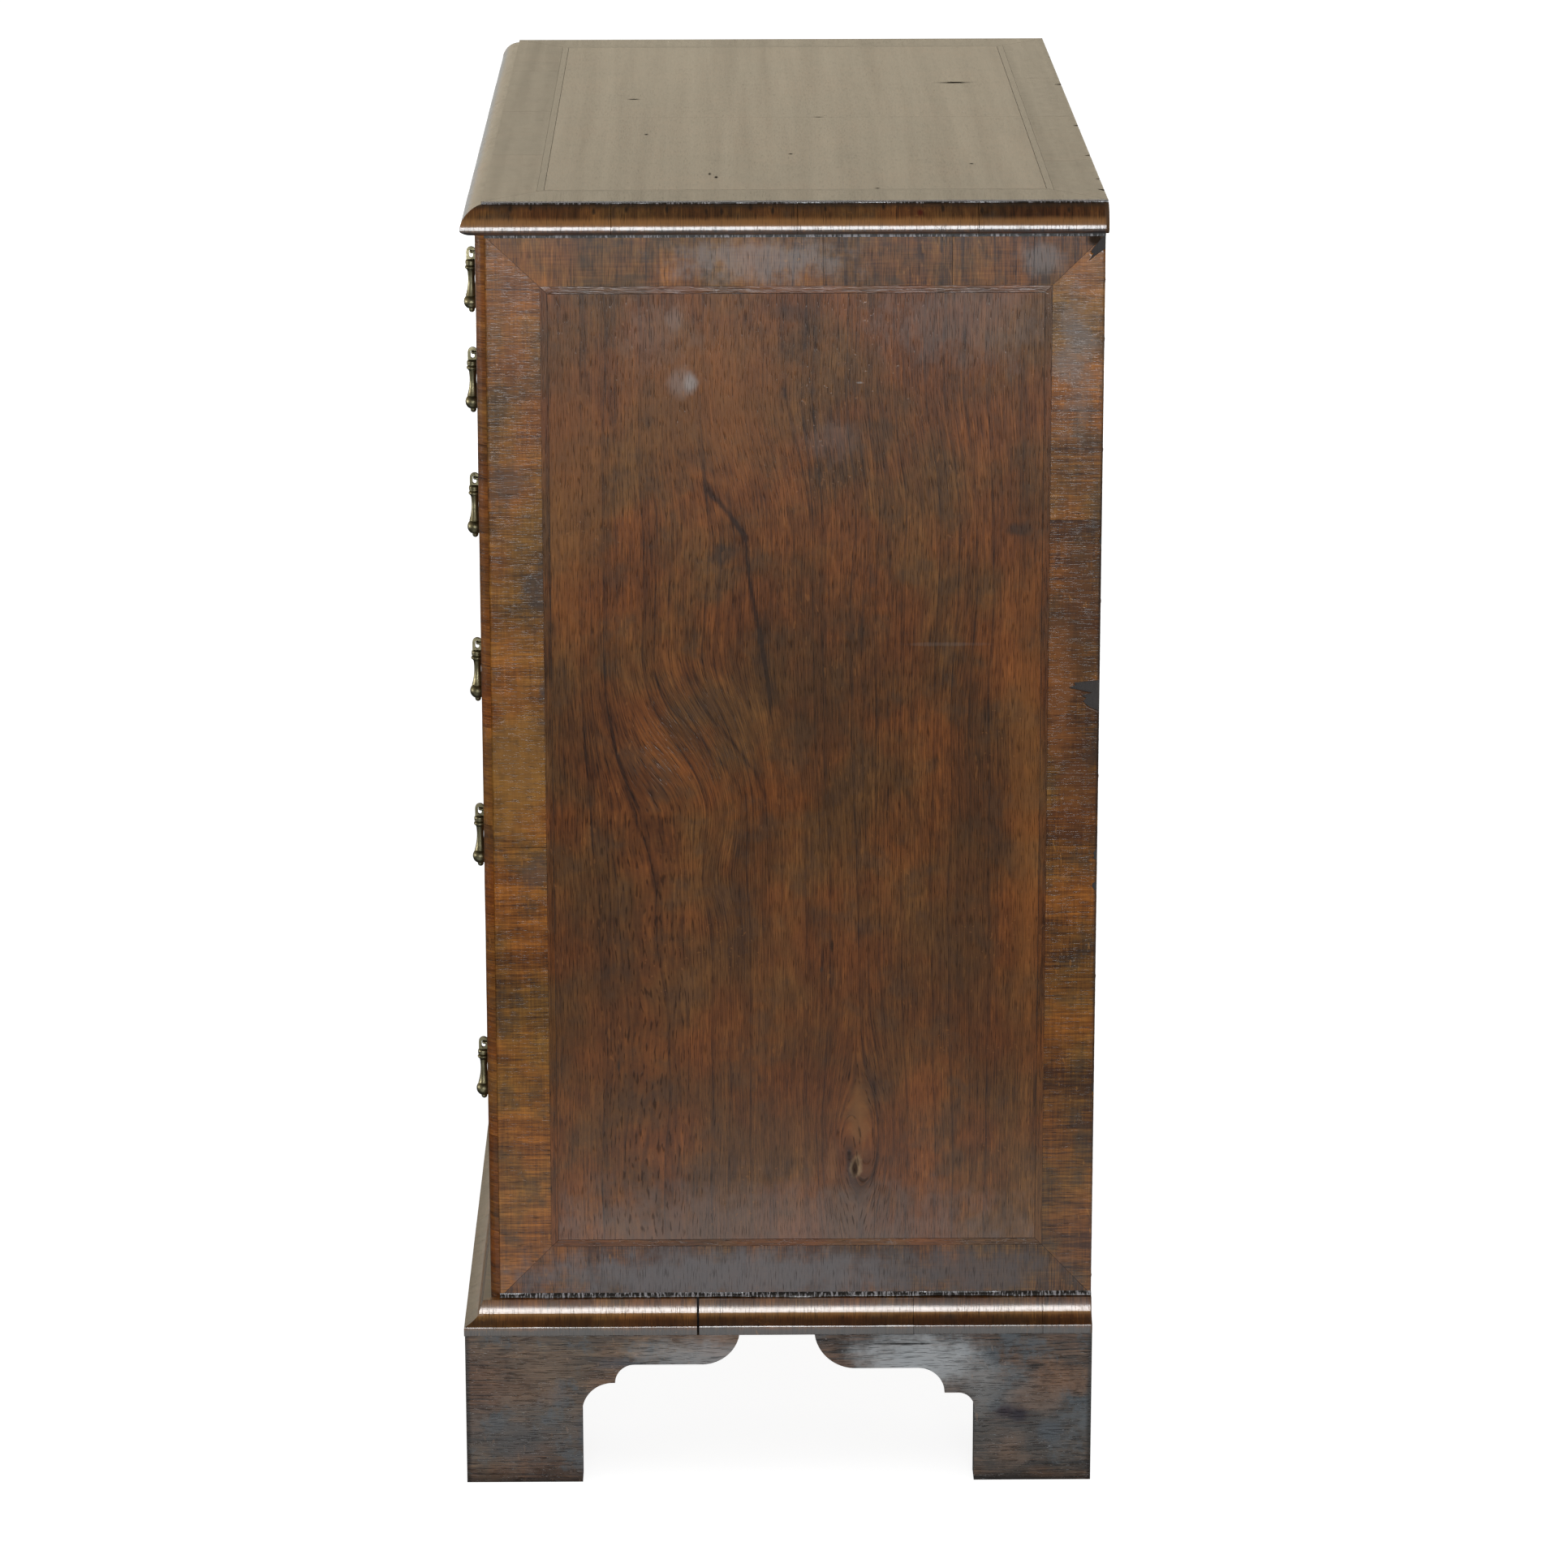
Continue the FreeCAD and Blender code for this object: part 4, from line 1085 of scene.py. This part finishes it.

# %% [markdown]
# Old wax and dust have built up where the mouldings meet the sides. Over the base moulding it is a thin,
# lumpy fillet, black and shiny, that breaks the light into dashes; its pale flecks are dust and also
# painted glints. Under the top moulding a dark strip stands for the shadow there, painted shade with
# dirt in the joint, and a third line runs where the top board meets its moulding.

# %% Wax, dirt and painted light in the corners
wax, tree, place = start_finish("old_wax")
notches = cloud(place * (300, 900, 160))
# Pale flecks: dust, and also painted glints like those the lumps catch.
dust_and_glints = step(notches, 0.50, 0.62)
lumps = put(tree, "Bump", {"Height": notches, "Strength": 1.0, "Distance": 0.6 * MM})
end_finish(tree, {"Base Color": tint(dust_and_glints, (12, 10, 9), (230, 215, 220)),
                  "Roughness": dust_and_glints * 0.3 + 0.35, "Normal": lumps, "Coat Normal": lumps, "Coat Weight": 0.7,
                  "Coat Roughness": 0.14})
wax_tall, wax_out = 2.7 * MM, 2.2 * MM
wax_round = arc((wax_out, 0.0), (wax_out * 0.84, wax_tall * 0.42), (wax_out * 0.1, wax_tall), 8)
rim_profile = [(0.0, 0.0), (0.9 * MM, 0.0), (0.5 * MM, 0.7 * MM), (0.0, 0.8 * MM)]
# A dark strip under the top moulding: painted shade for its shadow, with dirt in the joint.
shade_and_dirt_profile = [(0.0, 0.0), (0.7 * MM, 1.5 * MM), (0.0, 1.5 * MM)]
for side, sign in SIDES:
    moulding("wax_line_" + side, [(0.0, 0.0), *wax_round, (0.0, wax_tall)], beside(face_x, base_top, sign),
             cut_at(front_y), cut_at(back_y), (), wax, 33, pitch=2, wear=0.7)
    moulding("rim_line_" + side, rim_profile, beside(rim_inner, rim_high.z - 0.1 * MM, sign),
             cut_at(rim_heel), cut_at(rim_high.y), (), wax, 35, pitch=2, wear=0.5)
    moulding("dirt_line_" + side, shade_and_dirt_profile, beside(face_x, under_top - 1.5 * MM, sign),
             cut_at(front_y), cut_at(back_y), (), wax, 34)
print("wax lines laid; step from moulding to top", round(top_z - rim_high.z, 5))

# %% [markdown]
# ## Beads round the drawers
#
# A half-round bead faces the front edge of each side and of each shelf. The upright ones run the
# whole height. The level ones are coped, that is, their ends are hollowed to fit round the uprights.

# %% Lay the beads
def bead_profile(width):
    """A D section: straight to where the round begins, then half round, and out by the bead's depth."""
    half_width = width / 2
    straight = max(0.0, bead_out - half_width)
    nose = arc((straight, -half_width), (bead_out, 0.0), (straight, half_width), 17)
    return [(0.0, -half_width), *nose, (0.0, half_width)] if straight else nose


def cope(out, up):
    """Where a level bead meets the round of the right upright one, by how far out the point is."""
    depth = round_radius - bead_out + np.clip(out, 0, bead_out)
    return bead_middle - np.sqrt(np.maximum(round_radius ** 2 - depth ** 2, 0))


bead_middle, half_bead = (bead_low.x + bead_high.x) / 2, (bead_high.x - bead_low.x) / 2
round_radius = (half_bead ** 2 + bead_out ** 2) / (2 * bead_out)
bead_joints = (0.2216, 0.3634, 0.4198, 0.4879, 0.6545)
for side, sign in SIDES:
    relay("edge_bead_" + side, bead_profile(2 * half_bead),
          lambda out, up, run, s=sign: np.stack([s * (bead_middle + up), front_y - out, run], -1),
          cut_at(bead_low.z), cut_at(bead_high.z), bead_joints, bead_walnut, 25 + sign)
level_nodes = [*dividers, "top_rail", "bottom_rail"]
for number, node in enumerate(level_nodes):
    bead = min((solid[0] for solid in solids_of(node)), key=lambda p: p[:, 1].mean())
    middle, tall = (bead[:, 2].min() + bead[:, 2].max()) / 2, np.ptp(bead[:, 2])
    random = np.random.default_rng(40 + number)
    joints = np.cumsum(random.uniform(0.07, 0.13, 6)) - 0.33
    moulding(node + "_bead", bead_profile(tall), across_front(front_y, middle),
             lambda out, up: -cope(out, up), cope, joints.tolist(), crossgrain, 50 + number)
print("beads laid:", 2 + len(level_nodes))

# %% [markdown]
# ## The feet
#
# The bracket feet are solid walnut, dark and dry near the floor, stained by mops and polish. Their
# arrises are more rubbed than any other. The blocks glued behind them are pine. Pale blue-white patches
# high on the feet, under the moulding, are painted reflection of the bright floor; mops leave blue-black
# spots, and the lower edges and corners are black.

# %% Remake the feet
foot_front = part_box("foot_front_right")[0].y
EDGE_BLACK = (12, 10, 9)
foot_stains_and_painted_reflections = on_side(face_x, (
    (140, 46, 11, 7, (26, 18, 28), 0.90, 0.9), (149, 43, 8, 8, (18, 14, 24), 0.90, 0.9),
    (168, 32, 12, 9, (30, 42, 56), 0.75, 0.7), (142, 20, 14, 14, (150, 82, 46), 0.60, 0.9),
    (110, 60, 40, 18, (110, 98, 90), 0.40, 0.9), (176, 66, 22, 14, (190, 96, 50), 0.65, 0.9),
    (-155, 58, 32, 12, (150, 84, 48), 0.55, 0.9), (-165, 28, 24, 14, (34, 34, 36), 0.60, 0.9),
    (-118, 34, 12, 24, (30, 46, 64), 0.70, 0.9), (-100, 78, 26, 6, (28, 36, 48), 0.60, 0.9),
    # Painted reflection of the bright floor: the two pale blue-white patches 80 mm up.
    (-45, 82, 60, 18, (240, 246, 250), 0.62, 0.6), (85, 80, 55, 24, (330, 340, 345), 0.80, 0.5),
    (130, 62, 34, 22, (160, 156, 152), 0.50, 0.6), (-150, 75, 40, 16, (150, 94, 58), 0.45, 1.0),
    (160, 55, 26, 12, (150, 84, 50), 0.50, 1.0), (0, 30, 500, 40, (130, 128, 124), 0.28, 0.6),
    (0, 0, 500, 5, EDGE_BLACK, 0.80, 0.3), (foot_front / MM, 50, 4, 120, EDGE_BLACK, 0.80, 0.3),
    (back_y / MM, 50, 4, 120, EDGE_BLACK, 0.80, 0.3), (78, 90.5, 24, 1.1, (8, 6, 5), 0.90, 1.1)))
foot_finish = walnut("foot_walnut", (12, 8, 7), (88, 55, 38), (215, 132, 82), 5, 7, 0.4,
                     stains=foot_stains_and_painted_reflections, soot=0.65, gloss=0.12, rough=0.46, coat=0.5, coat_rough=0.2,
                     pore_depth=0.12, soot_colour=(62, 74, 85))
for corner in ("front_right", "front_left", "rear_right", "rear_left"):
    node = "foot_" + corner
    renew(node, "_brackets", "foot_walnut", foot_finish, 1.1, which=(0, 1))
    remake(node, node + "_block", "pine", pine, 1.0, which=(2,))
print("feet remade:", made[-8:], "with", len(foot_stains_and_painted_reflections), "stains")

# %% [markdown]
# ## Nails in the back
#
# The back boards are nailed into the rebates and to the shelves with hand-made nails. A rose head is
# a low dome with a few hammered facets: rings of eight corners, each smaller and higher than the
# last. The record lists no iron, so the nails take its slot for metal, which is brass.

# %% Nail the back
def nail_head(x, z, seed):
    """A rose head on the back at (x, z): radius falls and height rises from ring to ring."""
    random = np.random.default_rng(seed)
    angle = np.linspace(0, 2 * math.pi, 8, endpoint=False) + random.uniform(0, 1)
    radii, heights = np.array([2.8, 2.7, 1.5, 0.25]) * MM, np.array([-0.5, 0.25, 0.9, 1.15]) * MM
    out = radii[:, None] * (1 + random.uniform(-0.12, 0.12, 8))
    level = back_y + heights[:, None] + out * 0
    rings = np.stack([x + out * np.cos(angle), level, z + out * np.sin(angle)], -1)
    points, faces = loft(rings)
    return points, faces, points, 0.5


iron, tree, place = start_finish("old_iron")
rust = step(cloud(place, 420.0, 4.0, 0.6), 0.42, 0.62)
end_finish(tree, {"Base Color": tint(rust, (45, 40, 38), (120, 48, 20)), "Metallic": 0.8 - rust,
                  "Roughness": rust * 0.35 + 0.5})
back_low, back_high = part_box("back_boards")
from_edge, shelf_middle, from_top, from_base = 6 * MM, 4.5 * MM, 30 * MM, 8 * MM
columns = np.linspace(back_low.x + from_edge, back_high.x - from_edge, 6)
rows = [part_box(node)[0].z + shelf_middle for node in dividers] + [under_top - from_top, base_top + from_base]
heads = [nail_head(x, z, 7 * i + j) for i, x in enumerate(columns) for j, z in enumerate(rows)]
make_piece("back_nails", heads, "case", "brass", iron)
print("nails:", len(heads))

# %% [markdown]
# ## Brass
#
# The drops and plates were cast and turned, then lacquered, and have gone olive brown. The metal stays
# bright only where fingers rub it, so cloudy noise mixes a dull skin with a brighter one, and the same
# noise sets how rough each is.

# %% Old brass
brass, tree, place = start_finish("old_brass")
worn = step(cloud(place, 150.0, 3.0), 0.35, 0.70)
specks = step(cloud(place, 1400.0), 0.60, 0.72)
colour = tint(worn, (120, 106, 62), (235, 208, 125))
dents = put(tree, "Bump", {"Height": cloud(place, 600.0, 3.0), "Strength": 0.6, "Distance": 0.04 * MM})
end_finish(tree, {"Base Color": tint(specks * 0.6, colour, (30, 26, 16)), "Metallic": 1.0,
                  "Roughness": specks * 0.25 - worn * 0.08 + 0.42, "Normal": dents})
for name, node in frame["nodes"].items():
    if name.startswith("drop_") or name.endswith("_plates"):
        node.data.materials.clear()
        node.data.materials.append(brass)
print("brass nodes:", sum(brass.name in node.data.materials for node in frame["nodes"].values()))

# %% [markdown]
# ## The camera
#
# The chest is seen from its right-hand end, from a little above and far away, through a long lens. The
# directions come from three turns: round the upright axis, down, and a slight roll.

# %% Camera
FRAME_PIXELS, FOCAL_PIXELS, SENSOR = 1932, 6924.0, 36.0
CENTRE_X, CENTRE_Y = 931.0, 964.0
PITCH, YAW, ROLL = 15.41, -0.39, 0.14
CAMERA_PLACE = (3.6188, -0.03605, 1.3481)
forward, right, up = Vector((-1, 0, 0)), Vector((0, 1, 0)), Vector((0, 0, 1))
turn = Matrix.Rotation(math.radians(YAW), 3, up)
forward, right = turn @ forward, turn @ right
turn = Matrix.Rotation(math.radians(-PITCH), 3, right)
forward, up = turn @ forward, turn @ up
turn = Matrix.Rotation(math.radians(ROLL), 3, forward)
right, up = turn @ right, turn @ up
lens = bpy.data.cameras.new("camera")
lens.sensor_width, lens.lens, lens.clip_end = SENSOR, FOCAL_PIXELS / FRAME_PIXELS * SENSOR, 100.0
lens.shift_x = (FRAME_PIXELS / 2 - CENTRE_X) / FRAME_PIXELS
lens.shift_y = (CENTRE_Y - FRAME_PIXELS / 2) / FRAME_PIXELS
camera = bpy.data.objects.new("camera", lens)
camera.matrix_world = Matrix((right, up, -forward)).transposed().to_4x4()
camera.location = CAMERA_PLACE
bpy.context.scene.collection.objects.link(camera)
bpy.context.scene.camera = camera
print("lens:", round(lens.lens, 2), "mm")

# %% [markdown]
# ## The floor
#
# The floor is plain and pale, as in a studio with a paper sweep: nearly white to the eye, and bright
# in reflections only close to the chest. So it answers by the kind of ray that lands on it.

# %% Floor
def by_ray(kind, shown, rest):
    """One shader for the rays of a kind, and another for the rest."""
    return put(rest.tree, "MixShader", {0: put(rest.tree, "LightPath", {}, kind), 1: rest, 2: shown})


REACH = 30.0
floor_mesh = bpy.data.meshes.new("floor")
corners = [(-REACH, -REACH, 0), (REACH, -REACH, 0), (REACH, REACH, 0), (-REACH, REACH, 0)]
floor_mesh.from_pydata(corners, [], [(0, 1, 2, 3)])
floor = bpy.data.objects.new("floor", floor_mesh)
bpy.context.scene.collection.objects.link(floor)
floor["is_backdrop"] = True
paper, tree, place = start_finish("floor_paper")
far = calc("LENGTH", place, out="Value")
near = step(far, 0.70, 1.25, 1.3, 0.0) * step(place.split()[0], 0.34, 0.56)
shade = near + 0.06 + step(far, 2.6, 3.8, 0.0, 0.5)
lit = put(tree, "BsdfDiffuse", {"Color": (450, 450, 450)})
seen = put(tree, "AddShader", {0: lit, 1: put(tree, "Emission", {"Color": (860, 860, 860)})})
mirrored = put(tree, "Emission", {"Color": (920, 980, 1000), "Strength": shade})
unseen = by_ray("Is Glossy Ray", mirrored, lit)
put(tree, "OutputMaterial", {"Surface": by_ray("Is Camera Ray", seen, unseen)})
floor_mesh.materials.append(paper)
print("floor:", 2 * REACH, "m wide")

# %% [markdown]
# ## World and lights
#
# The room is dim and warm low down, at its far end and at both sides, and the light from overhead is
# soft and white. A low, wide window of light stands on each side, as high as a person's waist.
# Mouldings draw it as thin bright lines, while flat faces look past it and stay dark.

# %% World and lights
WHITE = (1000, 1000, 1000)
world = bpy.data.worlds.new("studio")
bpy.context.scene.world = world
world.use_nodes = True
tree = world.node_tree
tree.nodes.clear()
x, y, z = put(tree, "TexCoord", {}, "Generated").split()
far_wall, side_walls = step(x, -0.1, -0.7), step(calc("ABSOLUTE", y), 0.35, 0.75)
walls = step(z, 0.30, 0.75, 1.0, 0.0) * calc("MAXIMUM", far_wall, side_walls)
glow = calc("MAXIMUM", walls, step(z, 0.20, 0.32, 0.4, 0.0) * step(x, 0.1, 0.7)) * 0.56 + 0.07
room = put(tree, "Background", {"Color": (1000, 870, 650), "Strength": glow})
fill = put(tree, "Background", {"Color": WHITE, "Strength": step(z, 0.45, 0.85, 0.17, 0.75)})
blank = put(tree, "Background", {"Color": WHITE, "Strength": 1.0})
put(tree, "OutputWorld", {"Surface": by_ray("Is Camera Ray", blank, by_ray("Is Diffuse Ray", fill, room))})


def window(name, place, width, height, brightness, colour=(1.0, 1.0, 1.0)):
    """A rectangular soft light that faces the chest, with the given brightness of its face."""
    data = bpy.data.lights.new(name, "AREA")
    data.shape = "RECTANGLE"
    data.size, data.size_y = width, height
    data.energy = brightness * width * height * math.pi
    data.color = colour
    light = bpy.data.objects.new(name, data)
    light.location = place
    light.rotation_euler = (Vector((0, 0, place[2])) - Vector(place)).to_track_quat("-Z", "Y").to_euler()
    light.visible_camera = False
    bpy.context.scene.collection.objects.link(light)
    return light


window("window_right", (4.4, 0.0, 0.64), 2.4, 0.72, 19.5, (0.93, 0.965, 1.0))
window("window_front", (0.3, -4.4, 0.59), 2.4, 0.48, 17.0)
window("window_back", (0.0, 4.4, 0.59), 2.4, 0.48, 17.0)
window("window_left", (-4.4, 0.0, 0.80), 2.4, 1.0, 9.0).visible_glossy = False
bpy.context.scene.view_settings.view_transform = "Standard"

# %% Sizes
low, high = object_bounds()
print("visual box:", [round(v, 4) for v in low], [round(v, 4) for v in high])
